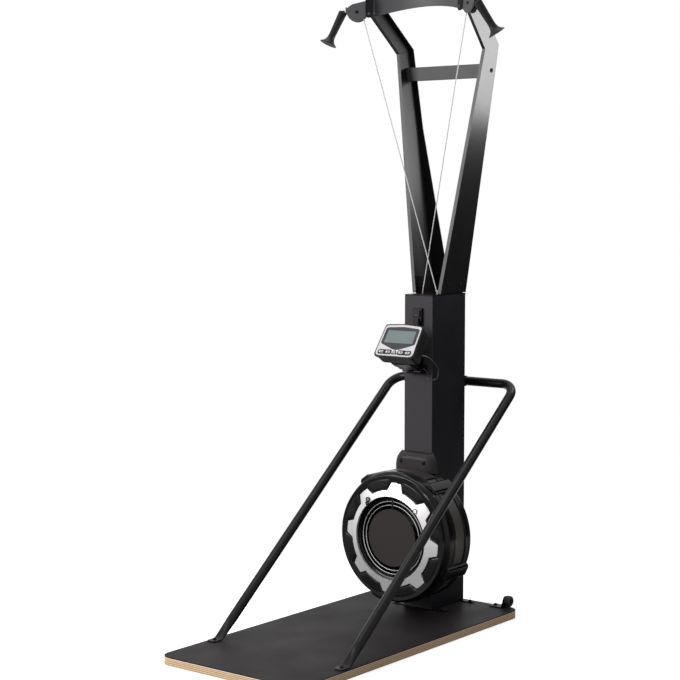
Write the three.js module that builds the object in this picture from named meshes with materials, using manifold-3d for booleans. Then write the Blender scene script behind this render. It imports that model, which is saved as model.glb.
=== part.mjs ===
// A stand-up ski trainer: platform, mast, air fan, cord drive, upper frame, monitor and handles.
// Millimetres, +Z up, +Y from the user towards the mast, origin at the middle of the platform's
// underside.
import * as THREE from 'three';
import { mergeVertices } from 'three/addons/utils/BufferGeometryUtils.js';
import Module from 'manifold-3d';

const wasm = await Module();
wasm.setup();

// Clearances that every piece shares
const clearance = 0.3;
const seam = 0.1;
const overrun = 40;

// Platform
const platformWidth = 600;
const platformLength = 1265;
const platformCornerRadius = 45;
const boardThickness = 26;
const matThickness = 3.4;

// Mast
const mastWidth = 122.4;
const mastDepth = 210.7;
const mastLength = 1141.8;
const mastWall = 3;
const mastLip = 12;
const mastSetback = 15.45;
const coverThickness = 2.5;
const capThickness = 4;
const basePlateThickness = 4;
const baseTabReach = 54.8;
const baseTabLength = 17;
const baseTabInset = 8.5;

// Support tube
const tubeDiameter = 32;
const tubeWall = 2;
const tubeSpan = 550;
const tubeBendRadius = 60;
const tubeBarHeight = 851;
const tubeFootSetback = 282;
const tubeFootLift = 16.6;
const footPlateLength = 76;
const footPlateWidth = 36;
const footPlateThickness = 5;
const footToe = 34;
const saddleWidth = 110;
const saddleThickness = 3;
const saddleFlange = 16;
const saddleBoltSpan = 80;
const saddleBoltDiameter = 8;

// Arms
const armSheet = 3;
const armLeanDegrees = 8.7;
const armNeckDegrees = 46.3;
const armBaseDepth = 161.2;
const armBendDepth = 83.4;
const armBendHeight = 881;
const armBendRise = 20.4;
const armNeckLength = 330;
const armLip = 14;
const armFlange = 21;
const armGusset = 57;
const armGussetHeight = 606;
const armBaseGap = 2;
const armTabWidth = 30;
const upstandHeight = 62;
const upstandLength = 130;

// Crossbar
const crossbarHeight = 49;
const crossbarDepth = 28;
const crossbarWall = 2.5;
const crossbarRise = 777.6;
const crossbarInset = 13;

// Head plate and ears
const headSweepDegrees = 25;
const earSpan = 482.6;
const headRise = 1016.8;
const headReach = 264.95;
const earRadius = 35.7;
const earSheet = 3;
const earStandoff = 20;
const earBendRadius = 8;
const bowSheet = 3;
const bowStraightFrom = 140;
const bowArchHalfWidth = 178;
const bowCentreLow = 12;
const bowCentreHigh = 74;
const bowArchDrop = 25;
const lobeFromDegrees = -145;
const lobeSweepDegrees = 120;
// Ear outline about its bolt, as shares of the ear's radius, from the lower inner corner
const earInnerShare = -1.85;
const earLowShares = [[-1.85, -0.25], [-0.966, -0.392]];
const earHighShares = [[1.2, 0], [0.98, 0.45], [0.476, 0.784], [-0.812, 1.064], [-1.85, 1.26]];

// Sheaves, cords and handles
const sheavePitchRadius = 16;
const sheaveRimRadius = 20;
const sheaveWidth = 10;
const sheaveBoltDiameter = 8;
const boltHeadDiameter = 14;
const boltHeadHeight = 4;
const cordDiameter = 4;
const bushLength = 6;
const bushBore = 7.6;
const bushReach = 38.5;
const bushDrop = 5;
const stopReach = 52.5;
const stopRise = 2;
const stopDiameter = 12;
const cupClearance = 0.5;
const handleLength = 130;
const handleTopDiameter = 24;
const handleNeckDiameter = 18.5;
const handleFlareDiameter = 63;
const handleRim = 2.5;
// How far each handle leans out from the vertical, and how far that lean is turned to the rear
const handleLeanDegrees = { right: 35.5, left: 25.8 };
const handleTurnDegrees = { right: 31.3, left: -48.8 };
// Handle's flare: share of the way out to its rim, share of the length
const handleFlareShares = [[0, 0.78], [0.08, 0.87], [0.3, 0.93], [0.62, 0.965], [1, 0.98]];

// Guide rollers and drums inside the mast
const cordEntry = 41;
const cordSpread = 12;
const cordEntryDepth = 72;
const rollerRadius = 8;
const rollerWidth = 10;
const rollerDrop = 15;
const rollerPinDiameter = 6;
const hangerThickness = 3;
const hangerGap = 2.5;
const slotRadius = 7;
const drumFlangeRadius = 48;
const drumFlange = 3;
const drumWinding = 20;
const spoolCoreRadius = 15;
const spoolFlangeRadius = 22;
const spoolWidth = 12;
const spoolFlange = 2;
const returnCordDiameter = 5;
const hookRadius = 4;
const hookLength = 12;

// Fan
const fanHeight = 315;
const shaftDiameter = 17;
const bearingDiameter = 44;
const bearingWidth = 12;
const shaftHole = 24;
const rearShellDepth = 35.3;
const rearShellRadius = 235;
const rearShellWall = 4;
const bandRadius = 230.5;
const bandWall = 2;
const bandWidth = 63;
const frontShellRadius = 237;
const frontShellWall = 3;
const frontShellDepth = 52;
const frontShellRound = 20;
const lugRadius = 250;
const lugWidth = 50;
const lugLength = 125;
const lugAngles = [52, 126, 248, 333];
const ringInnerRadius = 151;
const ringRootRadius = 173;
const ringTipRadius = 207;
const ringFaceRise = 14;
const ringHeight = 20;
const ringTeeth = 8;
const ringTurnDegrees = -5.5;
const toothRootDegrees = 10.6;
const toothTipDegrees = 5;
const padRadius = 225;
const padHeight = 11;
const gripBase = 5.4;
const neckWall = 3;
const neckHeight = 12;
const discRadius = 104;
const discThickness = 4;
const discRecess = 3.4;
const wireDiameter = 4;
const grilleRings = 3;
const grilleSpokes = 4;
const fanWheelRadius = 215;
const fanWheelWidth = 74;
const shaftNose = 14;
const fanWheelSheet = 4;
const fanHubRadius = 28;
const fanBlades = 20;
const fanBladeSheet = 3;
const fanBladeInnerRadius = 135;

// Neck hood over the fan
const hoodHalfWidth = 87.5;
const hoodDepth = 36;
const hoodShoulder = 535;
const hoodTop = 609;
const hoodRound = 14;

// Monitor
const faceTiltDegrees = 34.2;
const faceReach = 117.15;
const faceDrop = 151.7;
const faceHalfTop = 80.5;
const faceHalfBottom = 84.8;
const faceHalfHeight = 57.5;
const faceCrown = 5;
const bezelThickness = 3;
const housingDepth = 55;
const housingRound = 6;
const housingWall = 2.5;
const windowHalfWidth = 70;
const windowTop = 46;
const windowBottom = -26;
const screenThickness = 2.7;
const screenMargin = 4;
const buttonRadius = 5.5;
const buttonProud = 1.6;
const buttonFlange = 1.6;
const buttonEdge = 0.3;
const buttonOuter = 58;
const buttonInner = 28;
const buttonDrop = 45;
const pivotReach = 56.35;
const pivotDrop = 38.5;
const pivotKnuckleRadius = 9;
const pivotPinDiameter = 8;
const tongueWidth = 25;
const knuckleWidth = 6;
const bracketWidth = 44;
const bracketThickness = 3;
const bracketDrop = 44.2;
const bracketLength = 236;
const wedgeInset = 7;
const wedgeHeight = 60;
const cableDiameter = 5;
const cableExitAcross = 50;
const cableExitDrop = 25;
const cableLoop = 95;
const cableEndDrop = 99.9;
const cableEndBack = 95.6;
// Points along the monitor cable from its exit, as shares of the loop's size
const cableRouteShares = [
  [0.02, 0.17, -0.11], [0.12, 0.44, -0.13], [0.2, 0.67, -0.23], [0.2, 1.04, -0.49],
  [0.2, 1.2, -0.72], [0.2, 1.14, -0.96],
];

// Transport wheels
const wheelRadius = 20;
const wheelWidth = 22;
const wheelSpan = 507;
const wheelRearInset = 5;
const wheelHeight = 51;
const wheelAxleDiameter = 10;
const wheelCheek = 4;
const wheelFootLength = 52;
const wheelFootDepth = 34;
const wheelGussetShare = 0.9;

// How finely round shapes are divided
const roundSides = 36;
const smallSides = 16;
const pinSides = 12;
const cordSides = 8;
const wireSides = 4;
const bendSteps = 6;

// Heights and depths that follow from the sizes above
const deckHeight = boardThickness + matThickness;
const platformRear = platformLength / 2;
const mastBottom = deckHeight + basePlateThickness;
const mastTop = mastBottom + mastLength;
const capTop = mastTop + capThickness;
const mastRear = platformRear - mastSetback;
const mastFront = mastRear - mastDepth;
const channelFront = mastFront + coverThickness;

const group = new THREE.Group();

const radians = (degrees) => THREE.MathUtils.degToRad(degrees);

// A polygon from a list of points, or a circle of straight sides
function outline(points) {
  return new THREE.Shape(points.map(([a, b]) => new THREE.Vector2(a, b)));
}

function circlePoints(radius, sides, a = 0, b = 0) {
  const turn = (2 * Math.PI) / sides;
  return Array.from({ length: sides }, (_, i) => [
    a + radius * Math.cos(i * turn),
    b + radius * Math.sin(i * turn),
  ]);
}

function punch(shape, radius, sides, a = 0, b = 0) {
  const hole = circlePoints(radius, sides, a, b).map(([p, q]) => new THREE.Vector2(p, q));
  shape.holes.push(new THREE.Path(hole));
  return shape;
}

// Prisms along each axis: the outline lies in XY, in XZ or in YZ
function alongZ(shape, from, to) {
  const geometry = new THREE.ExtrudeGeometry(shape, { depth: to - from, bevelEnabled: false });
  return geometry.translate(0, 0, from);
}

function alongY(shape, from, to) {
  return alongZ(shape, 0, to - from).rotateX(Math.PI / 2).translate(0, to, 0);
}

function alongX(shape, from, to) {
  const turn = new THREE.Matrix4().makeBasis(
    new THREE.Vector3(0, 1, 0),
    new THREE.Vector3(0, 0, 1),
    new THREE.Vector3(1, 0, 0),
  );
  return alongZ(shape, 0, to - from).applyMatrix4(turn).translate(from, 0, 0);
}

function block(x0, x1, y0, y1, z0, z1) {
  return alongZ(outline([[x0, y0], [x1, y0], [x1, y1], [x0, y1]]), z0, z1);
}

// A body of revolution about Y from points of radius and height along Y
function turned(points, sides) {
  return new THREE.LatheGeometry(points.map(([r, y]) => new THREE.Vector2(r, y)), sides);
}

// A path that is sampled exactly at its stations, so long straight runs need no extra steps
class StationPath extends THREE.Curve {
  constructor(stations) {
    super();
    this.stations = stations;
  }

  getPoint(t) {
    const last = this.stations.length - 1;
    const place = Math.min(Math.max(t, 0), 1) * last;
    const from = Math.min(Math.floor(place), last - 1);
    return this.stations[from].clone().lerp(this.stations[from + 1], place - from);
  }

  getPointAt(t) {
    return this.getPoint(t);
  }

  getTangent(t) {
    const last = this.stations.length - 1;
    const at = Math.round(t * last);
    const before = this.stations[Math.max(at - 1, 0)];
    const here = this.stations[at];
    const after = this.stations[Math.min(at + 1, last)];
    const coming = here.clone().sub(before).normalize();
    const going = after.clone().sub(here).normalize();
    return coming.add(going).normalize();
  }

  getTangentAt(t) {
    return this.getTangent(t);
  }
}

function swept(stations, shape) {
  const extrudePath = new StationPath(stations);
  return new THREE.ExtrudeGeometry(shape, { steps: stations.length - 1, extrudePath });
}

// A closed mesh with shared corners and faces outwards becomes a solid
function solid(geometry) {
  const bare = geometry.clone();
  bare.deleteAttribute('normal');
  bare.deleteAttribute('uv');
  const merged = mergeVertices(bare);
  const corners = merged.attributes.position.array;
  const faces = [];
  let volume = 0;
  const at = (i) => new THREE.Vector3().fromArray(corners, 3 * i);
  for (let i = 0; i < merged.index.count; i += 3) {
    const [a, b, c] = [0, 1, 2].map((k) => merged.index.array[i + k]);
    if (a === b || b === c || c === a) continue;
    faces.push([a, b, c]);
    volume += at(a).dot(at(b).cross(at(c)));
  }
  const ordered = volume < 0 ? faces.map(([a, b, c]) => [a, c, b]) : faces;
  return new wasm.Manifold(new wasm.Mesh({
    numProp: 3,
    vertProperties: new Float32Array(corners),
    triVerts: new Uint32Array(ordered.flat()),
  }));
}

function united(...geometries) {
  return geometries.map(solid).reduce((whole, next) => whole.add(next));
}

function without(whole, ...geometries) {
  return geometries.map(solid).reduce((rest, next) => rest.subtract(next), whole);
}

function surface(body) {
  const mesh = body.getMesh();
  const geometry = new THREE.BufferGeometry();
  geometry.setAttribute('position', new THREE.BufferAttribute(mesh.vertProperties, 3));
  geometry.setIndex(new THREE.BufferAttribute(mesh.triVerts, 1));
  geometry.computeVertexNormals();
  return geometry;
}

// Finishes: colour, roughness, metalness
const finishes = {
  plywood: [0xd8b98a, 0.6, 0],
  mat: [0x2a272a, 0.9, 0],
  blackPaint: [0x1c1b1f, 0.35, 0.2],
  greyPaint: [0x38373c, 0.4, 0.2],
  blackPlastic: [0x201f21, 0.5, 0],
  darkPlastic: [0x3a3332, 0.6, 0],
  silverPlastic: [0xc9c5c8, 0.35, 0.3],
  steel: [0xa8a8ac, 0.3, 0.9],
  nylon: [0xdedede, 0.5, 0],
  cord: [0xe6e4e2, 0.7, 0],
  rubber: [0x161616, 0.8, 0],
  lcd: [0x8b9a96, 0.25, 0],
};

function place(name, body, finish) {
  const [color, roughness, metalness] = finishes[finish];
  const material = new THREE.MeshStandardMaterial({ color, roughness, metalness, flatShading: true });
  const mesh = new THREE.Mesh(surface(body), material);
  mesh.name = name;
  group.add(mesh);
}

// A right-hand piece and its mirror image
function placePair(name, geometryOrBody, finish) {
  const right = geometryOrBody instanceof THREE.BufferGeometry ? solid(geometryOrBody) : geometryOrBody;
  place(`right_${name}`, right, finish);
  place(`left_${name}`, right.mirror([1, 0, 0]), finish);
}

// Platform: plywood board with a rubber mat on top
function platformOutline() {
  const half = platformWidth / 2;
  const reach = platformLength / 2;
  const radius = platformCornerRadius;
  const shape = new THREE.Shape();
  shape.absarc(half - radius, reach - radius, radius, 0, Math.PI / 2);
  shape.absarc(radius - half, reach - radius, radius, Math.PI / 2, Math.PI);
  shape.absarc(radius - half, radius - reach, radius, Math.PI, 1.5 * Math.PI);
  shape.absarc(half - radius, radius - reach, radius, 1.5 * Math.PI, 2 * Math.PI);
  return outline(shape.getPoints(bendSteps).map((p) => [p.x, p.y]));
}

function addPlatform() {
  place('platform_board', solid(alongZ(platformOutline(), 0, boardThickness)), 'plywood');
  place('platform_mat', solid(alongZ(platformOutline(), boardThickness + seam, deckHeight)), 'mat');
}

// Mast: base plate with four bolt tabs, folded channel, front cover
function addMast() {
  const half = mastWidth / 2;
  const tab = half + baseTabReach;
  const frontTab = mastFront + baseTabInset;
  const rearTab = mastRear - baseTabInset;
  const side = [
    [half, mastFront], [half, frontTab], [tab, frontTab], [tab, frontTab + baseTabLength],
    [half, frontTab + baseTabLength], [half, rearTab - baseTabLength],
    [tab, rearTab - baseTabLength], [tab, rearTab], [half, rearTab], [half, mastRear],
  ];
  const mirror = side.map(([x, y]) => [-x, y]).reverse();
  const base = alongZ(outline([...side, ...mirror]), deckHeight + seam, mastBottom);
  place('mast_base_plate', solid(base), 'blackPaint');

  const inner = half - mastWall;
  const lip = half - mastLip;
  const channelSide = [[half, mastRear], [half, channelFront], [lip, channelFront]];
  const channelInside = [
    [lip, channelFront + mastWall], [inner, channelFront + mastWall], [inner, mastRear - mastWall],
  ];
  const right = [...channelSide, ...channelInside];
  const left = right.map(([x, y]) => [-x, y]).reverse();
  const channel = alongZ(outline([...right, ...left]), mastBottom + seam, mastTop);
  place('mast_channel', solid(channel), 'blackPaint');

  const low = mastBottom + seam;
  const sheet = outline([[-half, low], [half, low], [half, mastTop], [-half, mastTop]]);
  punch(sheet, shaftHole / 2, smallSides, 0, fanHeight);
  place('mast_front_cover', solid(alongY(sheet, mastFront, channelFront - seam)), 'greyPaint');
}

// Places of the two cords where they enter the mast: the left cord enters on the right
const cordEntryY = mastFront + cordEntryDepth;
const entries = {
  left: { x: cordEntry, y: cordEntryY - cordSpread / 2 },
  right: { x: -cordEntry, y: cordEntryY + cordSpread / 2 },
};
const rollerHeight = capTop - rollerDrop;
const rollerPitchRadius = rollerRadius + cordDiameter / 2 + clearance;
const hangerY = entries.right.y + rollerWidth / 2 + hangerGap;
const drumCoreRadius = cordEntry - cordDiameter / 2 - clearance;
const spoolPitchRadius = spoolCoreRadius + returnCordDiameter / 2 + clearance;

function rollerX(entry) {
  return entry.x - Math.sign(entry.x) * rollerPitchRadius;
}

// Drums lie side by side on the shaft, each with its return spool on the outer side
const drums = {
  left: { way: -1, start: cordEntryY - clearance },
  right: { way: 1, start: cordEntryY + clearance },
};
const drumDepth = 2 * drumFlange + drumWinding;
const spoolMiddle = drumDepth + spoolWidth / 2;

// Top cap: slotted plate, leaned upstands for the arms, hanger with roller pins, cord hooks
function addMastCap() {
  const half = mastWidth / 2;
  const plate = outline([[-half, mastFront], [half, mastFront], [half, mastRear], [-half, mastRear]]);
  for (const entry of Object.values(entries)) punch(plate, slotRadius, smallSides, entry.x, entry.y);
  const lean = radians(armLeanDegrees);
  const middle = (mastFront + mastRear) / 2 + (mastDepth - armBaseDepth) / 2;
  const upstands = [1, -1].map((side) => {
    const foot = armFace() - (armSheet + clearance) / Math.cos(lean) - armBaseGap * Math.tan(lean);
    const rise = upstandHeight * Math.tan(lean);
    const sheet = armSheet / Math.cos(lean);
    const section = outline([
      [side * foot, capTop], [side * (foot + rise), capTop + upstandHeight],
      [side * (foot + rise - sheet), capTop + upstandHeight], [side * (foot - sheet), capTop],
    ]);
    return alongY(section, middle - upstandLength / 2, middle + upstandLength / 2);
  });
  const hangerHalf = cordEntry;
  const hangerLow = rollerHeight - rollerRadius;
  const hanger = block(-hangerHalf, hangerHalf, hangerY, hangerY + hangerThickness, hangerLow, capTop);
  const pins = Object.values(entries).map((entry) => {
    const pin = outline(circlePoints(rollerPinDiameter / 2, pinSides, rollerX(entry), rollerHeight));
    return alongY(pin, entry.y - rollerWidth / 2, hangerY + hangerThickness);
  });
  const hooks = Object.values(drums).map((drum) => {
    const y = drum.start + drum.way * spoolMiddle;
    const hook = outline(circlePoints(hookRadius, pinSides, -spoolPitchRadius, y));
    return alongZ(hook, mastTop - hookLength, capTop);
  });
  const joined = united(alongZ(plate, mastTop + seam, capTop), ...upstands, hanger, ...pins, ...hooks);
  place('mast_top_cap', joined, 'blackPaint');
}

// The outer face of an arm's web at the top of the cap
function armFace() {
  return mastWidth / 2 + armBaseGap / 2;
}

addPlatform();
addMast();
addMastCap();

// Two guide rollers under the cap turn the cords down into the mast
function addGuideRollers() {
  for (const [side, entry] of Object.entries(entries)) {
    const half = rollerWidth / 2;
    const bore = rollerPinDiameter / 2 + clearance;
    const groove = rollerRadius;
    const rim = rollerPitchRadius;
    const profile = [
      [bore, -half], [rim, -half], [groove, -half / 2], [groove, half / 2], [rim, half], [bore, half],
      [bore, -half],
    ];
    const roller = turned(profile, smallSides).translate(rollerX(entry), entry.y, rollerHeight);
    place(`${side}_guide_roller`, solid(roller), 'nylon');
  }
}

// Cord drums with their return spools, free on the shaft through a one-way clutch
function addDrums() {
  const bore = shaftDiameter / 2 + clearance;
  for (const [side, drum] of Object.entries(drums)) {
    const far = drumDepth + spoolWidth + spoolFlange;
    const profile = [
      [bore, 0], [drumFlangeRadius, 0], [drumFlangeRadius, drumFlange], [drumCoreRadius, drumFlange],
      [drumCoreRadius, drumFlange + drumWinding], [drumFlangeRadius, drumFlange + drumWinding],
      [drumFlangeRadius, drumDepth], [spoolCoreRadius, drumDepth], [spoolCoreRadius, far - spoolFlange],
      [spoolFlangeRadius, far - spoolFlange], [spoolFlangeRadius, far], [bore, far], [bore, 0],
    ];
    const placed = profile.map(([r, depth]) => [r, drum.start + drum.way * depth]);
    const body = turned(placed, roundSides).translate(0, 0, fanHeight);
    place(`${side}_cord_drum`, solid(body), 'blackPlastic');

    const y = drum.start + drum.way * spoolMiddle;
    const stretch = outline(circlePoints(returnCordDiameter / 2, cordSides, -spoolPitchRadius, y));
    const cord = alongZ(stretch, fanHeight, mastTop - hookLength - clearance);
    place(`${side}_return_cord`, solid(cord), 'rubber');
  }
}

// Fan shaft and its two bearings, one behind the cover and one on the mast's back wall
const bearings = {
  front: channelFront + seam,
  rear: mastRear - mastWall - seam - bearingWidth,
};

function addShaft() {
  const radius = shaftDiameter / 2;
  const shaftFront = fanWheelRear - fanWheelWidth - shaftNose;
  const rear = mastRear - mastWall - clearance;
  const shaft = alongY(outline(circlePoints(radius, smallSides, 0, fanHeight)), shaftFront, rear);
  place('fan_shaft', solid(shaft), 'steel');
  for (const [end, start] of Object.entries(bearings)) {
    const bore = radius + clearance;
    const outer = bearingDiameter / 2;
    const far = start + bearingWidth;
    const profile = [[bore, start], [outer, start], [outer, far], [bore, far], [bore, start]];
    const bearing = turned(profile, smallSides).translate(0, 0, fanHeight);
    place(`${end}_shaft_bearing`, solid(bearing), 'steel');
  }
}

// Fan wheel: hub, back disc and straight blades that join them
const bandRear = mastFront - rearShellDepth;
const bandFront = bandRear - bandWidth;
const shellFront = bandFront - frontShellDepth;
const fanWheelRear = bandRear + (rearShellDepth - rearShellWall) / 2;

function addFanWheel() {
  const rear = fanWheelRear;
  const front = rear - fanWheelWidth;
  const bore = shaftDiameter / 2 + clearance;
  const hub = [[bore, front], [fanHubRadius, front], [fanHubRadius, rear], [bore, rear], [bore, front]];
  const back = rear - fanWheelSheet;
  const disc = [[bore, back], [fanWheelRadius, back], [fanWheelRadius, rear], [bore, rear], [bore, back]];
  const parts = [turned(hub, smallSides), turned(disc, roundSides)];
  for (let i = 0; i < fanBlades; i += 1) {
    const half = fanBladeSheet / 2;
    const outer = fanWheelRadius - fanWheelSheet;
    const blade = block(fanBladeInnerRadius, outer, front, rear - seam, -half, half);
    parts.push(blade.rotateY((i * 2 * Math.PI) / fanBlades));
  }
  place('fan_wheel', united(...parts.map((p) => p.translate(0, 0, fanHeight))), 'blackPlastic');
}

// Fan housing: rear shell on the mast, perforated band, front shell with four screw lugs
function addFanHousing() {
  const rearFace = mastFront - seam;
  const wall = rearShellWall;
  const rearShell = turned([
    [shaftHole / 2, rearFace - wall], [rearShellRadius - wall, rearFace - wall],
    [rearShellRadius - wall, bandRear + seam], [rearShellRadius, bandRear + seam],
    [rearShellRadius, rearFace], [shaftHole / 2, rearFace], [shaftHole / 2, rearFace - wall],
  ], roundSides);
  place('fan_rear_shell', solid(rearShell.translate(0, 0, fanHeight)), 'blackPlastic');

  const inner = bandRadius - bandWall;
  const band = turned([
    [inner, bandFront], [bandRadius, bandFront], [bandRadius, bandRear], [inner, bandRear],
    [inner, bandFront],
  ], roundSides);
  place('fan_mesh_band', solid(band.translate(0, 0, fanHeight)), 'steel');

  const sheet = frontShellWall;
  const outer = frontShellRadius;
  const round = frontShellRound;
  const neckOuter = ringInnerRadius - clearance;
  const neckInner = neckOuter - neckWall;
  const face = shellFront;
  const arc = (radius, from) => Array.from({ length: bendSteps + 1 }, (_, i) => {
    const angle = (from + (i * (from ? -1 : 1)) / bendSteps) * (Math.PI / 2);
    return [
      outer - round + radius * Math.cos(angle),
      face + round - radius * Math.sin(angle),
    ];
  });
  const profile = [
    [outer, bandFront - seam], ...arc(round, 0), [neckOuter, face], [neckOuter, face - neckHeight],
    [neckInner, face - neckHeight], [neckInner, face + sheet], ...arc(round - sheet, 1),
    [outer - sheet, bandFront - seam], [outer, bandFront - seam],
  ];
  const shell = turned(profile, roundSides);
  const lugs = lugAngles.map((degrees) => {
    const from = rearShellRadius + clearance;
    const start = face + round;
    const lug = block(from, lugRadius, start, start + lugLength, -lugWidth / 2, lugWidth / 2);
    return lug.rotateY(-radians(degrees));
  });
  const whole = united(...[shell, ...lugs].map((p) => p.translate(0, 0, fanHeight)));
  place('fan_front_shell', whole, 'blackPlastic');
}

// Toothed outline of the damper ring, widened by a gap for its neighbours
function toothedShape(gap) {
  const points = [];
  for (let i = 0; i < ringTeeth; i += 1) {
    const middle = radians(ringTurnDegrees) + (i * 2 * Math.PI) / ringTeeth;
    const corners = [
      [ringRootRadius, -toothRootDegrees], [ringTipRadius, -toothTipDegrees],
      [ringTipRadius, toothTipDegrees], [ringRootRadius, toothRootDegrees],
    ];
    for (const [radius, off] of corners) {
      const spread = radians(off) + (Math.sign(off) * gap) / radius;
      const angle = middle + spread;
      points.push([(radius + gap) * Math.cos(angle), (radius + gap) * Math.sin(angle)]);
    }
  }
  return outline(points);
}

// Damper: silver toothed ring with a sloping face, and the black grip ring that carries it
function addDamper() {
  const inner = ringInnerRadius + clearance;
  const gripRear = shellFront - clearance;
  const gripFront = gripRear - gripBase;
  const ringRear = gripFront - seam;
  const crest = ringRear - ringHeight + gripBase;
  const slope = ringFaceRise / (ringTipRadius - ringInnerRadius);
  const tipFace = crest + slope * (padRadius - inner);
  const cone = turned([
    [inner, ringRear], [inner, crest], [padRadius, tipFace], [padRadius, ringRear], [inner, ringRear],
  ], roundSides);
  const teeth = alongY(toothedShape(0), crest - overrun, ringRear + overrun);
  const ring = solid(cone).intersect(solid(teeth)).translate([0, 0, fanHeight]);
  place('damper_ring', ring, 'silverPlastic');

  const base = turned([
    [inner, gripFront], [padRadius, gripFront], [padRadius, gripRear], [inner, gripRear], [inner, gripFront],
  ], roundSides);
  const padFront = gripFront - padHeight + gripBase;
  const padInner = ringRootRadius;
  const padRound = padRadius - padHeight / 2;
  const pads = turned([
    [padInner, gripFront], [padInner, padFront], [padRound, padFront], [padRadius, gripFront - seam],
    [padRadius, gripFront], [padInner, gripFront],
  ], roundSides);
  const room = alongY(toothedShape(clearance), padFront - overrun, gripFront);
  const grip = without(solid(pads), room).add(solid(base)).translate([0, 0, fanHeight]);
  place('damper_grip_ring', grip, 'blackPlastic');
}

// Inlet: wire rings on spokes inside the shell's neck, with a disc in front
function addInlet() {
  const rim = ringInnerRadius - clearance - neckWall - clearance;
  const front = shellFront - neckHeight + discRecess;
  const discRear = front + discThickness;
  const discPoints = [[0, front], [discRadius, front], [discRadius, discRear], [0, discRear]];
  const disc = turned(discPoints, roundSides);
  place('hub_disc', solid(disc.translate(0, 0, fanHeight)), 'darkPlastic');

  const half = wireDiameter / 2;
  const middle = discRear + seam + half;
  const step = (rim - half - discRadius) / grilleRings;
  const parts = [];
  for (let i = 1; i <= grilleRings; i += 1) {
    const radius = discRadius + i * step;
    const wire = circlePoints(half, wireSides, radius, middle);
    parts.push(turned([...wire, wire[0]], roundSides));
  }
  for (let i = 0; i < grilleSpokes; i += 1) {
    const spoke = block(discRadius - overrun, rim - half, middle - half, middle + half, -half, half);
    parts.push(spoke.rotateY((i * 2 * Math.PI) / grilleSpokes));
  }
  place('inlet_grille', united(...parts.map((p) => p.translate(0, 0, fanHeight))), 'steel');
}

// Neck hood: a domed cover on the mast that follows the housing's rim
function addHood() {
  const arcRadius = frontShellRadius + clearance;
  const half = mastWidth / 2;
  const outlinePoints = [
    [hoodHalfWidth, hoodShoulder], [half, hoodTop], [-half, hoodTop], [-hoodHalfWidth, hoodShoulder],
    [-hoodHalfWidth, fanHeight + arcRadius / 2], [hoodHalfWidth, fanHeight + arcRadius / 2],
  ];
  const rear = mastFront - seam;
  const front = rear - hoodDepth;
  const face = alongY(outline(outlinePoints), front, rear);
  const side = alongX(outline([
    [front, fanHeight], [rear, fanHeight], [rear, hoodTop], [rear - hoodRound / 2, hoodTop],
    [front, hoodTop - 2 * hoodRound],
  ]), -hoodHalfWidth, hoodHalfWidth);
  const rim = outline(circlePoints(arcRadius, 2 * roundSides, 0, fanHeight));
  const hole = solid(alongY(rim, front - overrun, rear + overrun));
  place('neck_hood', solid(face).intersect(solid(side)).subtract(hole), 'blackPlastic');
}

// Support tube: one bent tube from foot to foot behind the mast, with a crimped foot at each end
function addSupport() {
  const radius = tubeDiameter / 2;
  const half = tubeSpan / 2;
  const foot = new THREE.Vector3(0, tubeFootSetback - platformRear, deckHeight + tubeFootLift);
  const bar = new THREE.Vector3(0, mastRear + radius + clearance, tubeBarHeight);
  const rise = bar.clone().sub(foot);
  const length = rise.length();
  const way = rise.normalize();
  const at = (x, s) => foot.clone().addScaledVector(way, s).setX(x);
  const rightHalf = [at(half, 0)];
  for (let i = 0; i <= bendSteps; i += 1) {
    const angle = (i / bendSteps) * (Math.PI / 2);
    const x = half - tubeBendRadius * (1 - Math.cos(angle));
    rightHalf.push(at(x, length - tubeBendRadius * (1 - Math.sin(angle))));
  }
  const stations = [...rightHalf, ...rightHalf.map((p) => p.clone().setX(-p.x)).reverse()];
  const wall = outline(circlePoints(radius, smallSides));
  punch(wall, radius - tubeWall, smallSides);
  const tube = solid(swept(stations, wall));
  const deck = deckHeight + seam;
  const plateTop = deck + footPlateThickness;
  const toe = foot.y - footPlateLength + radius;
  const heel = foot.y + radius;
  const feet = [half, -half].map((x) => {
    const plate = block(x - footPlateWidth / 2, x + footPlateWidth / 2, toe, heel, deck, plateTop);
    const crimp = outline([
      [toe + footToe, plateTop - seam], [foot.y - radius * way.z, foot.z + radius * way.y],
      [foot.y + radius * way.y, foot.z + radius * way.z], [heel, plateTop - seam],
    ]);
    return united(plate, alongX(crimp, x - radius, x + radius));
  });
  const bolts = [1, -1].map((side) => {
    const place = [(side * saddleBoltSpan) / 2, tubeBarHeight];
    const hole = outline(circlePoints(saddleBoltDiameter / 2, pinSides, ...place));
    return alongY(hole, mastRear - overrun, bar.y + overrun);
  });
  const whole = feet.reduce((sum, part) => sum.add(part), tube);
  place('support_tube', without(whole, ...bolts), 'blackPaint');

  const inner = radius + clearance;
  const outer = inner + saddleThickness;
  const back = [];
  for (let i = 0; i <= 2 * bendSteps; i += 1) {
    const angle = Math.PI / 2 - (i / (2 * bendSteps)) * Math.PI;
    back.push([Math.cos(angle), Math.sin(angle)]);
  }
  const face = mastRear + seam;
  const lip = face + saddleThickness;
  const reach = outer + saddleFlange;
  const strap = [
    [face, reach], [lip, reach], [lip, outer], ...back.map(([c, s]) => [bar.y + outer * c, outer * s]),
    [lip, -outer], [lip, -reach], [face, -reach], [face, -inner],
    ...back.reverse().map(([c, s]) => [bar.y + inner * c, inner * s]), [face, inner],
  ].map(([y, z]) => [y, tubeBarHeight + z]);
  place('support_saddle', solid(alongX(outline(strap), -saddleWidth / 2, saddleWidth / 2)), 'blackPaint');
}

// The ear's own frame: X outward along the ear, Y behind its face, Z up, origin at its bolt
const earBolt = new THREE.Vector3(earSpan / 2, mastRear - headReach, capTop + headRise);
const sweep = radians(headSweepDegrees);

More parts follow.
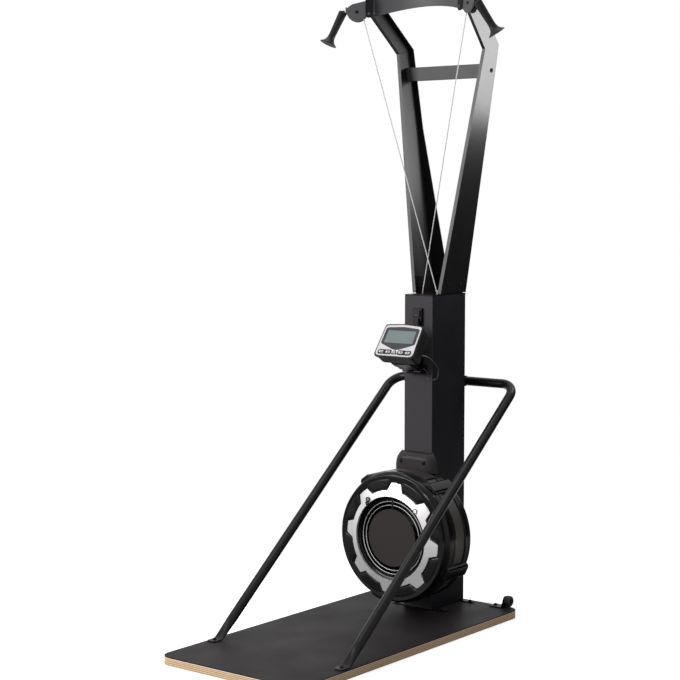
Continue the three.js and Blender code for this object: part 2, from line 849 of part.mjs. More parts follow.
function onEar(geometry) {
  return geometry.rotateZ(-sweep).translate(earBolt.x, earBolt.y, earBolt.z);
}

function earPoint(out, behind, up) {
  const up3 = new THREE.Vector3(0, 0, 1);
  return new THREE.Vector3(out, behind, up).applyAxisAngle(up3, -sweep).add(earBolt);
}

function earShape() {
  const lobe = [];
  for (let i = 0; i <= 2 * bendSteps; i += 1) {
    const angle = radians(lobeFromDegrees + (lobeSweepDegrees * i) / (2 * bendSteps));
    lobe.push([earRadius * Math.cos(angle), earRadius * Math.sin(angle)]);
  }
  const scaled = (shares) => shares.map(([a, b]) => [a * earRadius, b * earRadius]);
  return outline([...scaled(earLowShares), ...lobe, ...scaled(earHighShares)]);
}

const bowFrontDepth = earStandoff;
const bowRearDepth = earStandoff + bowSheet;

// Arm: one bent sheet channel, built upright in its web's plane and then leaned outwards
function addArms() {
  const neck = radians(armNeckDegrees);
  const rearY = mastRear;
  const frontY = rearY - armBaseDepth;
  const bendRear = [rearY, armBendHeight + armBendRise];
  const bendFront = [rearY - armBendDepth, armBendHeight];
  const reach = ([y, z], length) => [y - length * Math.sin(neck), z + length * Math.cos(neck)];
  const base = capTop + armBaseGap;
  const web = alongX(outline([
    [frontY, 0], [rearY, 0], bendRear, reach(bendRear, armNeckLength), reach(bendFront, armNeckLength),
    bendFront,
  ]), -armSheet, 0);
  const across = (a, b) => {
    const run = Math.hypot(b[0] - a[0], b[1] - a[1]);
    return [(-(b[1] - a[1]) / run) * armSheet, ((b[0] - a[0]) / run) * armSheet];
  };
  const strip = (a, b, way, width) => {
    const [dy, dz] = across(a, b).map((d) => d * way);
    return alongX(outline([a, b, [b[0] + dy, b[1] + dz], [a[0] + dy, a[1] + dz]]), -width, 0);
  };
  const lips = [
    strip([frontY, 0], bendFront, -1, armLip),
    strip(bendFront, reach(bendFront, armNeckLength), -1, armLip),
    strip(bendRear, reach(bendRear, armNeckLength), 1, armFlange),
  ];
  const gusset = alongY(outline([
    [0, 0], [0, bendRear[1]], [-armFlange, bendRear[1]], [-armFlange, armGussetHeight], [-armGusset, 0],
  ]), rearY - armSheet, rearY);
  const upright = united(web, ...lips, gusset);
  const leaned = upright.rotate([0, armLeanDegrees, 0]).translate([armFace(), 0, base]);
  const wide = earSpan;
  const tabDepth = bowRearDepth + clearance;
  const inFront = onEar(block(-wide, wide, -wide, tabDepth, -wide, wide));
  const armTop = topOfBowEnd() - armLip;
  const above = block(0, wide, -platformLength, platformLength, armTop, armTop + wide);
  const webOut = armFace() + (earBolt.z - base) * Math.tan(radians(armLeanDegrees));
  const tabOut = (webOut - earBolt.x - tabDepth * Math.sin(sweep)) / Math.cos(sweep) - armSheet;
  const tab = block(tabOut - armTabWidth, tabOut, tabDepth, tabDepth + armSheet, -armSheet, armTabWidth);
  const trimmed = without(leaned, inFront, above).add(solid(onEar(tab)));
  placePair('arm', trimmed, 'blackPaint');
}

function topOfBowEnd() {
  return capTop + headRise + bowCentreHigh - bowArchDrop;
}

// Crossbar: rectangular tube whose ends follow the leaning webs
function addCrossbar() {
  const lean = radians(armLeanDegrees);
  const low = capTop + crossbarRise;
  const high = low + crossbarHeight;
  const foot = armFace() - (armSheet + clearance) / Math.cos(lean);
  const inner = (z) => foot + (z - capTop - armBaseGap) * Math.tan(lean);
  const rear = mastRear - crossbarInset;
  const front = rear - crossbarDepth;
  const wall = crossbarWall;
  const shape = outline([[-inner(low), low], [inner(low), low], [inner(high), high], [-inner(high), high]]);
  const hollow = block(-earSpan, earSpan, front + wall, rear - wall, low + wall, high - wall);
  place('crossbar', without(solid(alongY(shape, front, rear)), hollow), 'blackPaint');
}

// Long curved head plate: an arc between two straight ends, cut to its arch and ear outlines
function addHead() {
  const arcRadius = bowStraightFrom / Math.sin(sweep);
  const start = earPoint(0, bowFrontDepth, 0);
  const kneeY = start.y + (start.x - bowStraightFrom) * Math.tan(sweep);
  const arcY = kneeY - arcRadius * Math.cos(sweep);
  const straight = (start.x - bowStraightFrom) / Math.cos(sweep) + 2 * earRadius;
  const edge = (radius) => {
    const points = [];
    for (let i = 0; i <= 2 * bendSteps; i += 1) {
      const angle = sweep * (i / bendSteps - 1);
      points.push([radius * Math.sin(angle), arcY + radius * Math.cos(angle)]);
    }
    const [x, y] = points[points.length - 1];
    const end = [x + straight * Math.cos(sweep), y - straight * Math.sin(sweep)];
    return [[-end[0], end[1]], ...points, end];
  };
  const plan = [...edge(arcRadius), ...edge(arcRadius + bowSheet).reverse()];
  const strip = solid(alongZ(outline(plan), earBolt.z - bowCentreHigh, earBolt.z + 2 * bowCentreHigh));
  const archEnd = earPoint(earInnerShare * earRadius, bowRearDepth, 0).x + bowSheet;
  const arch = (base, count) => Array.from({ length: count + 1 }, (_, i) => {
    const x = archEnd * ((2 * i) / count - 1);
    return [x, base - bowArchDrop * (x / bowArchHalfWidth) ** 2];
  });
  const low = arch(earBolt.z + bowCentreLow, 2 * bendSteps);
  const high = arch(earBolt.z + bowCentreHigh, 2 * bendSteps).reverse();
  const middle = solid(alongY(outline([...low, ...high]), -platformLength, platformLength));
  const drilled = (shape) => punch(shape, sheaveBoltDiameter / 2 + clearance, pinSides);
  const ear = solid(onEar(alongY(drilled(earShape()), -overrun, 2 * overrun)));
  const outlineAll = middle.add(ear).add(ear.mirror([1, 0, 0]));
  place('bow_plate', strip.intersect(outlineAll), 'greyPaint');

  const tip = earHighShares[0][0] * earRadius;
  const root = earInnerShare * earRadius;
  const round = earBendRadius;
  const arc = (radius) => Array.from({ length: bendSteps + 1 }, (_, i) => {
    const angle = (i / bendSteps) * (Math.PI / 2);
    return [root + round - radius * Math.sin(angle), round - radius * Math.cos(angle)];
  });
  const section = [
    [tip, 0], ...arc(round), [root, bowFrontDepth - seam], [root + earSheet, bowFrontDepth - seam],
    ...arc(round - earSheet).reverse(), [tip, earSheet],
  ];
  const folded = solid(alongZ(outline(section), -2 * earRadius, 2 * earRadius));
  const cheek = folded.intersect(solid(alongY(drilled(earShape()), -overrun, overrun)));
  const turnedCheek = cheek.rotate([0, 0, -headSweepDegrees]).translate(earBolt.toArray());
  placePair('ear_bracket', turnedCheek, 'greyPaint');
}

// Sheave between ear and head plate, its bolt, and the bush where the cord leaves
const sheaveDepth = (earSheet + bowFrontDepth) / 2;

function addSheaves() {
  const bore = sheaveBoltDiameter / 2 + clearance;
  const half = sheaveWidth / 2;
  const core = sheavePitchRadius - cordDiameter / 2 - clearance;
  const wheel = turned([
    [bore, -half], [sheaveRimRadius, -half], [core, -half / 3], [core, half / 3], [sheaveRimRadius, half],
    [bore, half], [bore, -half],
  ], 2 * pinSides);
  placePair('sheave', onEar(wheel.translate(0, sheaveDepth, 0)), 'nylon');

  const shank = sheaveBoltDiameter / 2;
  const head = boltHeadDiameter / 2;
  const nutStart = bowRearDepth + clearance;
  const nutEnd = nutStart + boltHeadHeight;
  const bolt = turned([
    [0, -boltHeadHeight - clearance], [head, -boltHeadHeight - clearance], [head, -clearance],
    [shank, -clearance], [shank, nutStart], [head, nutStart], [head, nutEnd], [0, nutEnd],
  ], pinSides);
  placePair('sheave_bolt', onEar(bolt), 'blackPaint');

  const width = (bowFrontDepth - earSheet) / 2 - clearance;
  const hole = bushBore / 2;
  const mouth = (hole + width) / 2;
  const end = bushLength / 2;
  const ring = turned([
    [mouth, -end], [width, -end], [width, end], [mouth, end], [hole, 0], [mouth, -end],
  ], smallSides);
  ring.rotateZ(-Math.PI / 2).rotateY(exitAngle());
  const seat = [bushReach, sheaveDepth, sheavePitchRadius - bushDrop];
  placePair('cord_bush', onEar(ring.translate(...seat)), 'blackPlastic');
}

function exitAngle() {
  return Math.atan2(sheavePitchRadius - bushDrop - stopRise, stopReach - bushReach);
}

// Drive cord of one side, from its stop over the sheave and roller to the drum
function cordStations(side) {
  const entry = entries[side];
  const mirror = side === 'left' ? -1 : 1;
  const placed = (out, up) => {
    const point = earPoint(out, sheaveDepth, up);
    return point.setX(point.x * mirror);
  };
  const angle = exitAngle();
  const free = stopDiameter / 2 + clearance;
  const bushUp = sheavePitchRadius - bushDrop;
  const cornerOut = bushReach - bushDrop / Math.tan(angle);
  const stations = [
    placed(stopReach - free * Math.cos(angle), stopRise + free * Math.sin(angle)),
    placed(bushReach, bushUp),
    placed((bushReach + cornerOut) / 2, sheavePitchRadius - bushDrop / 2),
    placed(cornerOut - bushDrop, sheavePitchRadius),
  ];
  const outer = Math.sign(entry.x);
  const roller = new THREE.Vector3(rollerX(entry), entry.y, rollerHeight);
  const onRoller = (turn) => new THREE.Vector3(
    roller.x + outer * rollerPitchRadius * Math.cos(turn),
    roller.y,
    roller.z + rollerPitchRadius * Math.sin(turn),
  );
  const sheave = placed(0, 0);
  const fall = Math.atan2(Math.abs(sheave.x - entry.x), sheave.z - roller.z);
  const target = onRoller(fall);
  const flat = new THREE.Vector3(Math.cos(sweep) * mirror, -Math.sin(sweep), 0);
  const toTarget = target.clone().sub(sheave);
  const heading = Math.atan2(toTarget.z, toTarget.dot(flat));
  const reach = Math.hypot(toTarget.z, toTarget.dot(flat));
  const leave = heading + 2 * Math.PI - Math.acos(sheavePitchRadius / reach);
  for (let i = 0; i <= bendSteps; i += 1) {
    const turn = Math.PI / 2 + (leave - Math.PI / 2) * (i / bendSteps);
    stations.push(placed(sheavePitchRadius * Math.cos(turn), sheavePitchRadius * Math.sin(turn)));
  }
  const drumFall = outer > 0 ? 0 : -Math.atan2(2 * cordEntry, roller.z - fanHeight);
  stations.push(target, onRoller((fall + drumFall) / 2), onRoller(drumFall));
  const drumTurn = outer > 0 ? 0 : -drumFall;
  stations.push(new THREE.Vector3(
    cordEntry * Math.cos(drumTurn),
    entry.y,
    fanHeight + cordEntry * Math.sin(drumTurn),
  ));
  return stations;
}

function addDriveCords() {
  for (const side of ['left', 'right']) {
    const section = outline(circlePoints(cordDiameter / 2, cordSides));
    place(`${side}_drive_cord`, solid(swept(cordStations(side), section)), 'cord');
  }
}

// Cord stop, a ball in the top of the handle, and the handle with its flared end
function addHandles() {
  const stopAt = earPoint(stopReach, sheaveDepth, stopRise);
  const ball = new THREE.SphereGeometry(stopDiameter / 2, pinSides, bendSteps);
  placePair('cord_stop', ball.rotateX(Math.PI / 2).translate(...stopAt.toArray()), 'blackPlastic');

  const cup = stopDiameter / 2 + cupClearance;
  const top = handleTopDiameter / 2;
  const neck = handleNeckDiameter / 2;
  const flare = handleFlareDiameter / 2;
  const cupPoints = Array.from({ length: bendSteps + 1 }, (_, i) => {
    const turn = (i / bendSteps) * (Math.PI / 2);
    return [cup * Math.sin(turn), cup * Math.cos(turn)];
  });
  const flarePoints = handleFlareShares.map(([a, b]) => [neck + a * (flare - neck), b * handleLength]);
  const profile = [
    ...cupPoints, [top - handleRim, 0], [top, handleRim], [top, cup], ...flarePoints,
    [flare, handleLength], [neck, handleLength - handleRim], [0, handleLength - handleRim],
  ];
  for (const side of ['left', 'right']) {
    const lean = radians(handleLeanDegrees[side]);
    const heading = radians(handleTurnDegrees[side]);
    const mirror = side === 'left' ? -1 : 1;
    const reach = Math.sin(lean);
    const across = mirror * reach * Math.cos(heading);
    const way = new THREE.Vector3(across, reach * Math.sin(heading), -Math.cos(lean));
    const turn = new THREE.Quaternion().setFromUnitVectors(new THREE.Vector3(0, 1, 0), way);
    const hung = turned(profile, 2 * pinSides).applyQuaternion(turn);
    place(`${side}_handle`, solid(hung.translate(mirror * stopAt.x, stopAt.y, stopAt.z)), 'blackPlastic');
  }
}

// Monitor frame: X across, Y up the face, Z out of the face
const faceTilt = radians(faceTiltDegrees);
const faceY = mastFront - faceReach;
const faceHeight = mastTop - faceDrop;
const pivotHeight = faceHeight - pivotDrop;

function onFace(geometry) {
  const turn = new THREE.Matrix4().makeBasis(
    new THREE.Vector3(1, 0, 0),
    new THREE.Vector3(0, Math.sin(faceTilt), Math.cos(faceTilt)),
    new THREE.Vector3(0, -Math.cos(faceTilt), Math.sin(faceTilt)),
  );
  return geometry.applyMatrix4(turn).translate(0, faceY, faceHeight);
}

function faceOutline(inset) {
  const top = faceHalfTop - inset;
  const bottom = faceHalfBottom - inset;
  const half = faceHalfHeight - inset;
  const chamfer = 2 * faceCrown;
  return outline([
    [-bottom, chamfer - half], [chamfer - bottom, -half], [bottom - chamfer, -half],
    [bottom, chamfer - half], [top, half - faceCrown], [top - faceCrown, half], [0, half + faceCrown],
    [faceCrown - top, half], [-top, half - faceCrown],
  ]);
}

const buttonPlaces = [-buttonOuter, -buttonInner, 0, buttonInner, buttonOuter];

function addMonitor() {
  const front = -bezelThickness;
  const rear = -housingDepth;
  const wall = housingWall;
  const pivotY = mastFront - pivotReach;
  const dy = pivotY - faceY;
  const dz = pivotHeight - faceHeight;
  const pivotUp = dy * Math.sin(faceTilt) + dz * Math.cos(faceTilt);
  const pivotOut = -dy * Math.cos(faceTilt) + dz * Math.sin(faceTilt);
  const crown = faceHalfHeight + faceCrown;
  const sideOutline = outline([
    [crown, front], [-faceHalfHeight, front], [-faceHalfHeight, rear + housingRound],
    [housingRound - faceHalfHeight, rear], [crown - housingRound, rear], [crown, rear + housingRound],
  ]);
  const slope = solid(alongX(sideOutline, -faceHalfBottom, faceHalfBottom));
  const shell = solid(alongZ(faceOutline(0), rear, front - seam)).intersect(slope);
  const room = solid(alongZ(faceOutline(wall), rear, front + wall));
  const belowTop = slope.translate([0, -wall, wall]);
  const hollow = room.intersect(slope.translate([0, wall, wall])).intersect(belowTop);
  const knuckle = tongueWidth / 2 + clearance;
  const around = (radius, sides) => outline(circlePoints(radius, sides, pivotUp, pivotOut));
  const web = outline([
    [pivotUp - pivotKnuckleRadius, pivotOut], [pivotUp + pivotKnuckleRadius, pivotOut],
    [pivotUp + pivotKnuckleRadius, rear + wall], [pivotUp - pivotKnuckleRadius, rear + wall],
  ]);
  const lugs = [knuckle, -knuckle - knuckleWidth].map((x) => united(
    alongX(around(pivotKnuckleRadius, smallSides), x, x + knuckleWidth),
    alongX(web, x, x + knuckleWidth),
  ));
  const bore = alongX(around(pivotPinDiameter / 2 + clearance, pinSides), -bracketWidth, bracketWidth);
  const housing = without(shell.subtract(hollow).add(lugs[0]).add(lugs[1]), bore);
  place('monitor_housing', solid(onFace(surface(housing))), 'blackPlastic');

  const bezel = faceOutline(0);
  const opening = [
    [-windowHalfWidth, windowTop], [-windowHalfWidth, windowBottom / 2], [0, windowBottom],
    [windowHalfWidth, windowBottom / 2], [windowHalfWidth, windowTop],
  ];
  bezel.holes.push(new THREE.Path(opening.map(([a, b]) => new THREE.Vector2(a, b))));
  for (const x of buttonPlaces) punch(bezel, buttonRadius + clearance, pinSides, x, -buttonDrop);
  place('monitor_bezel', solid(onFace(alongZ(bezel, front, 0))), 'silverPlastic');

  const half = windowHalfWidth + screenMargin;
  const high = windowTop + screenMargin;
  const low = windowBottom - screenMargin;
  const glass = front - seam;
  const screen = block(-half, half, low, high, glass - screenThickness, glass);
  place('monitor_screen', solid(onFace(screen)), 'lcd');

  buttonPlaces.forEach((x, i) => {
    const wide = buttonRadius + buttonFlange;
    const flangeTop = front - clearance;
    const flangeLow = flangeTop - buttonFlange;
    const cap = turned([
      [0, flangeLow], [wide, flangeLow], [wide, flangeTop], [buttonRadius, flangeTop],
      [buttonRadius, buttonProud - buttonEdge], [buttonRadius - buttonEdge, buttonProud], [0, buttonProud],
    ], pinSides);
    const set = cap.rotateX(Math.PI / 2).translate(x, -buttonDrop, 0);
    place(`monitor_button_${i + 1}`, solid(onFace(set)), 'blackPlastic');
  });

  const plateHalf = bracketWidth / 2;
  const bracketRear = mastFront - seam;
  const plateFront = bracketRear - bracketThickness;
  const bracketHigh = mastTop - bracketDrop;
  const bracketLow = bracketHigh - bracketLength;
  const wedgeLow = bracketLow + wedgeInset;
  const plate = block(-plateHalf, plateHalf, plateFront, bracketRear, bracketLow, bracketHigh);
  const tongue = tongueWidth / 2;
  const wedge = outline([
    [bracketRear, wedgeLow], [bracketRear, wedgeLow + wedgeHeight],
    [pivotY, pivotHeight + pivotKnuckleRadius],
    [pivotY - pivotKnuckleRadius / 2, pivotHeight - pivotKnuckleRadius / 2],
  ]);
  const atPivot = (radius, sides) => outline(circlePoints(radius, sides, pivotY, pivotHeight));
  const disc = alongX(atPivot(pivotKnuckleRadius, smallSides), -tongue, tongue);
  const hole = alongX(atPivot(pivotPinDiameter / 2 + clearance, pinSides), -bracketWidth, bracketWidth);
  const bracket = without(united(plate, alongX(wedge, -tongue, tongue), disc), hole);
  place('monitor_bracket', bracket, 'blackPaint');

  const pinHalf = knuckle + knuckleWidth + clearance;
  const pin = alongX(atPivot(pivotPinDiameter / 2, pinSides), -pinHalf, pinHalf);
  place('monitor_pivot_pin', solid(pin), 'steel');
}

// Monitor cable from the housing's back to the side of the mast
function addMonitorCable() {
  const exit = [cableExitAcross, -cableExitDrop, -housingDepth - clearance];
  const dot = onFace(new THREE.BufferGeometry().setFromPoints([new THREE.Vector3(...exit)]));
  const from = new THREE.Vector3().fromBufferAttribute(dot.attributes.position, 0);
  const end = from.clone().add(new THREE.Vector3(0, cableEndBack, -cableEndDrop));
  end.setX(mastWidth / 2 + clearance);
  const beforeEnd = end.clone().setX(end.x + cableDiameter);
  const route = cableRouteShares.map((share) => (
    new THREE.Vector3(...share).multiplyScalar(cableLoop).add(from)
  ));
  const curve = new THREE.CatmullRomCurve3([from, ...route, beforeEnd]);
  const section = outline(circlePoints(cableDiameter / 2, cordSides));
  const stations = [...curve.getSpacedPoints(4 * bendSteps), end];
  place('monitor_cable', solid(swept(stations, section)), 'rubber');
}

// Transport wheels at the rear corners, each on a folded bracket with its own axle
function addTransportWheels() {
  const middle = wheelSpan / 2;
  const half = wheelWidth / 2;
  const y = platformRear - wheelRearInset;
  const axle = wheelAxleDiameter / 2;
  const bore = axle + clearance;
  const edge = wheelCheek / 2;
  const wheel = turned([
    [bore, -half], [wheelRadius - edge, -half], [wheelRadius, edge - half], [wheelRadius, half - edge],
    [wheelRadius - edge, half], [bore, half], [bore, -half],
  ], 2 * pinSides);
  wheel.rotateZ(-Math.PI / 2).translate(middle, y, wheelHeight);
  placePair('transport_wheel', wheel, 'rubber');

  const cheekOut = middle - half - clearance;
  const cheekIn = cheekOut - wheelCheek;
  const deck = deckHeight + seam;
  const footIn = cheekOut - wheelFootLength;
  const foot = block(footIn, cheekOut, y - wheelFootDepth, platformRear, deck, deck + wheelCheek);
  const round = wheelRadius - wheelCheek / 2;
  const cheek = solid(alongX(outline(circlePoints(round, 2 * pinSides, y, wheelHeight)), cheekIn, cheekOut));
  const gusset = alongX(outline([
    [y - wheelFootDepth, deck], [platformRear, deck], [y + wheelRadius / 2, wheelHeight],
    [y - wheelRadius * wheelGussetShare, wheelHeight],
  ]), cheekIn, cheekOut);
  const pin = alongX(outline(circlePoints(axle, pinSides, y, wheelHeight)), cheekIn, middle + half + edge);
  const bracket = cheek.add(solid(foot)).add(solid(gusset)).add(solid(pin));
  placePair('wheel_bracket', bracket, 'blackPaint');
}

addGuideRollers();
addDrums();
addShaft();
addFanWheel();
addFanHousing();
addDamper();
addInlet();
addHood();
addSupport();
addArms();
addCrossbar();
addHead();
addSheaves();
addDriveCords();
addHandles();
addMonitor();
addMonitorCable();
addTransportWheels();

export default group;
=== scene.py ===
from math import copysign, cos, pi, radians, sin, sqrt, tan

import bmesh
import bpy
from mathutils import Matrix, Vector


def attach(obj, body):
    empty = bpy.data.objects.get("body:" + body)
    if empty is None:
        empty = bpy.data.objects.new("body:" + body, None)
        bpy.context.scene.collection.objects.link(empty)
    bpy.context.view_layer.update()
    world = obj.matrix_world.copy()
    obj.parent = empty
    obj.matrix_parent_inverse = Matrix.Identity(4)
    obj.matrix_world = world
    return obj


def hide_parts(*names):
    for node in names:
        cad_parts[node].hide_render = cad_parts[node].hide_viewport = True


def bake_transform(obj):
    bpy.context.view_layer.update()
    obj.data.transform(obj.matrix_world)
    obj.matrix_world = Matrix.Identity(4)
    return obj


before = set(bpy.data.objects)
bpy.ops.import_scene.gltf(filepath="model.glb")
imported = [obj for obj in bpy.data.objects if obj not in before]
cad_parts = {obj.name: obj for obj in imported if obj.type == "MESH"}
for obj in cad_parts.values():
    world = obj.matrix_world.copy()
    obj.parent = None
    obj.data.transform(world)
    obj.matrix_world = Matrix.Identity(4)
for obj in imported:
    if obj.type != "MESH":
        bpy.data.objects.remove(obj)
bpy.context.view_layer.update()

# Camera: stands nearly six metres from the machine, to the right of its front, at chest height,
# and looks down on it a little.
camera_data = bpy.data.cameras.new("camera")
camera_data.lens = 89.136
camera_data.sensor_width = 36
camera_data.clip_end = 100
camera = bpy.data.objects.new("camera", camera_data)
camera.location = (3.53939, -4.51844, 1.54299)
looks_down, turned_round = 4.98, 38.38
camera.rotation_euler = (radians(90 - looks_down), 0, radians(turned_round))
bpy.context.scene.collection.objects.link(camera)
bpy.context.scene.camera = camera
bpy.context.scene.view_settings.view_transform = "Standard"

# Studio: a big soft light at the front left, a weaker one above and a small one behind on the
# right. The background is white where it is seen, in gloss too, and a dim light to the rest.
WHITE = (1, 1, 1, 1)


def add_node(tree, kind, inputs=(), **settings):
    """A shader node with its settings and the values of its unlinked inputs."""
    node = tree.nodes.new(f"ShaderNode{kind}")
    for setting, value in settings.items():
        setattr(node, setting, value)
    for socket, value in dict(inputs).items():
        node.inputs[socket].default_value = value
    return node


def join(tree, *wires):
    """Wire sockets together: each wire is a node, its output, a node and its input."""
    for source, output, target, socket in wires:
        tree.links.new(source.outputs[output], target.inputs[socket])


studio = bpy.data.worlds.new("studio")
bpy.context.scene.world = studio
studio.use_nodes = True
sky = studio.node_tree
sky.nodes.clear()
rays = add_node(sky, "LightPath")
seen = add_node(sky, "Math", operation="MAXIMUM")
seen_all = add_node(sky, "Math", operation="MAXIMUM")
white = add_node(sky, "Background", {"Color": WHITE, "Strength": 1})
ambient = add_node(sky, "Background", {"Color": WHITE, "Strength": 0.35})
either = add_node(sky, "MixShader")
world_out = add_node(sky, "OutputWorld")
join(sky, (rays, "Is Camera Ray", seen, 0), (rays, "Is Glossy Ray", seen, 1),
     (seen, 0, seen_all, 0), (rays, "Is Transmission Ray", seen_all, 1), (seen_all, 0, either, 0),
     (ambient, 0, either, 1), (white, 0, either, 2), (either, 0, world_out, "Surface"))


def softbox(name, place, aim, width, height, power):
    """A rectangular lamp turned to a point, which the camera doesn't see."""
    lamp = bpy.data.lights.new(name, "AREA")
    lamp.shape = "RECTANGLE"
    lamp.size = width
    lamp.size_y = height
    lamp.energy = power
    box = bpy.data.objects.new(name, lamp)
    box.location = place
    box.rotation_euler = (Vector(aim) - Vector(place)).to_track_quat("-Z", "Y").to_euler()
    box.visible_camera = False
    bpy.context.scene.collection.objects.link(box)


softbox("key_softbox", (-2.6, -4.2, 2.6), (0, 0.2, 1.0), 3.0, 2.4, 270)
softbox("top_softbox", (-0.4, 0.0, 4.6), (0, 0.2, 0), 3.0, 3.0, 80)
softbox("rim_softbox", (0.74, 1.2, 2.02), (0.2, 0.5, 2.05), 0.55, 0.62, 15)

# Floor: white to the camera with the machine's soft shadow, fading into the white background;
# grey to the machine, so that its black paint stays black.


def surface(name, inputs):
    """A material with values on its shader's own sockets; gives its node tree and shader too."""
    material = bpy.data.materials.new(name)
    material.use_nodes = True
    shader = material.node_tree.nodes["Principled BSDF"]
    for socket, value in inputs.items():
        shader.inputs[socket].default_value = value
    return material, material.node_tree, shader


def new_object(name, bm, material):
    """An object at the origin with a smooth-shaded mesh."""
    mesh = bpy.data.meshes.new(name)
    bm.to_mesh(mesh)
    bm.free()
    mesh.shade_smooth()
    mesh.materials.append(material)
    thing = bpy.data.objects.new(name, mesh)
    bpy.context.scene.collection.objects.link(thing)
    return thing


def stage_sheet(name, half_size, inputs):
    """A matt sheet that belongs to the studio; gives its object, node tree and shader."""
    bm = bmesh.new()
    bmesh.ops.create_grid(bm, x_segments=1, y_segments=1, size=1)
    bmesh.ops.scale(bm, vec=(*half_size, 1), verts=bm.verts)
    material, tree, shader = surface(name, {"Roughness": 1, "Specular IOR Level": 0, **inputs})
    sheet = new_object(name, bm, material)
    return sheet, tree, shader


floor_tree, floor_shader = stage_sheet("studio_floor", (6, 6), {"Emission Color": WHITE})[1:]
to_machine, to_camera = (0.2, 0.2, 0.2, 1), (0.95, 0.95, 0.95, 1)
fade_start, fade_end = 0.7, 1.9
floor_rays = add_node(floor_tree, "LightPath")
floor_colour = add_node(floor_tree, "Mix", {"A": to_machine, "B": to_camera}, data_type="RGBA")
floor_glow = add_node(floor_tree, "Math", {1: 0.45}, operation="MULTIPLY")
floor_place = add_node(floor_tree, "TexCoord")
floor_reach = add_node(floor_tree, "VectorMath", operation="LENGTH")
floor_fade = add_node(floor_tree, "MapRange", {"From Min": fade_start, "From Max": fade_end,
                                               "To Min": 1, "To Max": 0})
join(floor_tree, (floor_rays, "Is Camera Ray", floor_colour, "Factor"),
     (floor_colour, "Result", floor_shader, "Base Color"),
     (floor_rays, "Is Camera Ray", floor_glow, 0), (floor_glow, 0, floor_shader, "Emission Strength"),
     (floor_place, "Object", floor_reach, 0), (floor_reach, "Value", floor_fade, "Value"),
     (floor_fade, "Result", floor_shader, "Alpha"))

# Flag: a black board behind the machine on its right. It is seen in the gloss of the paint alone
# and keeps the mast's side and the foot of each arm black.
flag = stage_sheet("black_flag", (1.5, 0.74), {"Base Color": (0, 0, 0, 1)})[0]
flag.location = (1.35, 2.35, 0.74)
flag.rotation_euler = (radians(90), 0, radians(326.4))
flag.visible_camera = False
flag.visible_diffuse = False
flag.visible_shadow = False
flag.visible_transmission = False

# Platform: a birch plywood board with a black rubber mat glued on top. Its corners are rounded
# and its edges are lacquered, so the plies show as pale and dark lines. The pale band along the
# board's top edge is a painted highlight of that lacquered rim.
MM = 0.001
MERGE = 0.002 * MM
HALF_WIDTH, HALF_LENGTH, BOARD_CORNER = 300, 632.5, 45
BOARD_TOP, MAT_TOP = 26, 29.4


def grain_group():
    """Fine grain and slow mottle over a piece, read from its own place in the machine."""
    group = bpy.data.node_groups.new("grain_and_mottle", "ShaderNodeTree")
    add_socket = group.interface.new_socket
    add_socket("Vector", in_out="INPUT", socket_type="NodeSocketVector")
    for name in ("Grain scale", "Mottle scale"):
        add_socket(name, in_out="INPUT", socket_type="NodeSocketFloat")
    for name in ("Grain", "Mottle"):
        add_socket(name, in_out="OUTPUT", socket_type="NodeSocketFloat")
    start, end = group.nodes.new("NodeGroupInput"), group.nodes.new("NodeGroupOutput")
    grain = add_node(group, "TexNoise", {"Detail": 3})
    mottle = add_node(group, "TexNoise", {"Detail": 4, "Roughness": 0.6})
    join(group, (start, "Vector", grain, "Vector"), (start, "Grain scale", grain, "Scale"),
         (start, "Vector", mottle, "Vector"), (start, "Mottle scale", mottle, "Scale"),
         (grain, "Fac", end, "Grain"), (mottle, "Fac", end, "Mottle"))
    return group


GRAIN = grain_group()


def finish(name, colour, roughness, grain=(1500, 0.00004), mottle=(8, 0.12), metallic=0.0,
           specular=0.5, spread=0.06):
    """A finish in a linear colour: grain is scale and depth in metres, mottle scale and strength."""
    material, tree, shader = surface(name, {"Metallic": metallic, "Specular IOR Level": specular})
    dark = (*[c * (1 - mottle[1]) for c in colour], 1)
    pale = (*[min(1, c * (1 + mottle[1])) for c in colour], 1)
    place = add_node(tree, "TexCoord")
    texture = add_node(tree, "Group", {"Grain scale": grain[0], "Mottle scale": mottle[0]},
                       node_tree=GRAIN)
    tone = add_node(tree, "Mix", {"A": dark, "B": pale}, data_type="RGBA")
    rough = add_node(tree, "MapRange", {"From Min": 0.3, "From Max": 0.7,
                                        "To Min": roughness - spread, "To Max": roughness + spread})
    bump = add_node(tree, "Bump", {"Strength": 1, "Distance": grain[1]})
    join(tree, (place, "Object", texture, "Vector"), (texture, "Mottle", tone, "Factor"),
         (tone, "Result", shader, "Base Color"), (texture, "Mottle", rough, "Value"),
         (rough, "Result", shader, "Roughness"), (texture, "Grain", bump, "Height"),
         (bump, "Normal", shader, "Normal"))
    return material


def make_piece(name, bm, material, body, nodes=(), sharp=35, recalculate=True):
    """A finished mesh at the origin that rides on a body and stands for its CAD nodes."""
    if recalculate:
        bmesh.ops.remove_doubles(bm, verts=bm.verts, dist=MERGE)
        bmesh.ops.recalc_face_normals(bm, faces=bm.faces)
    piece = new_object(name, bm, material)
    piece.data.set_sharp_from_angle(angle=radians(sharp))
    piece.modifiers.new("flat_faces_stay_flat", "WEIGHTED_NORMAL").keep_sharp = True
    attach(piece, body)
    if nodes:
        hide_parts(*nodes)


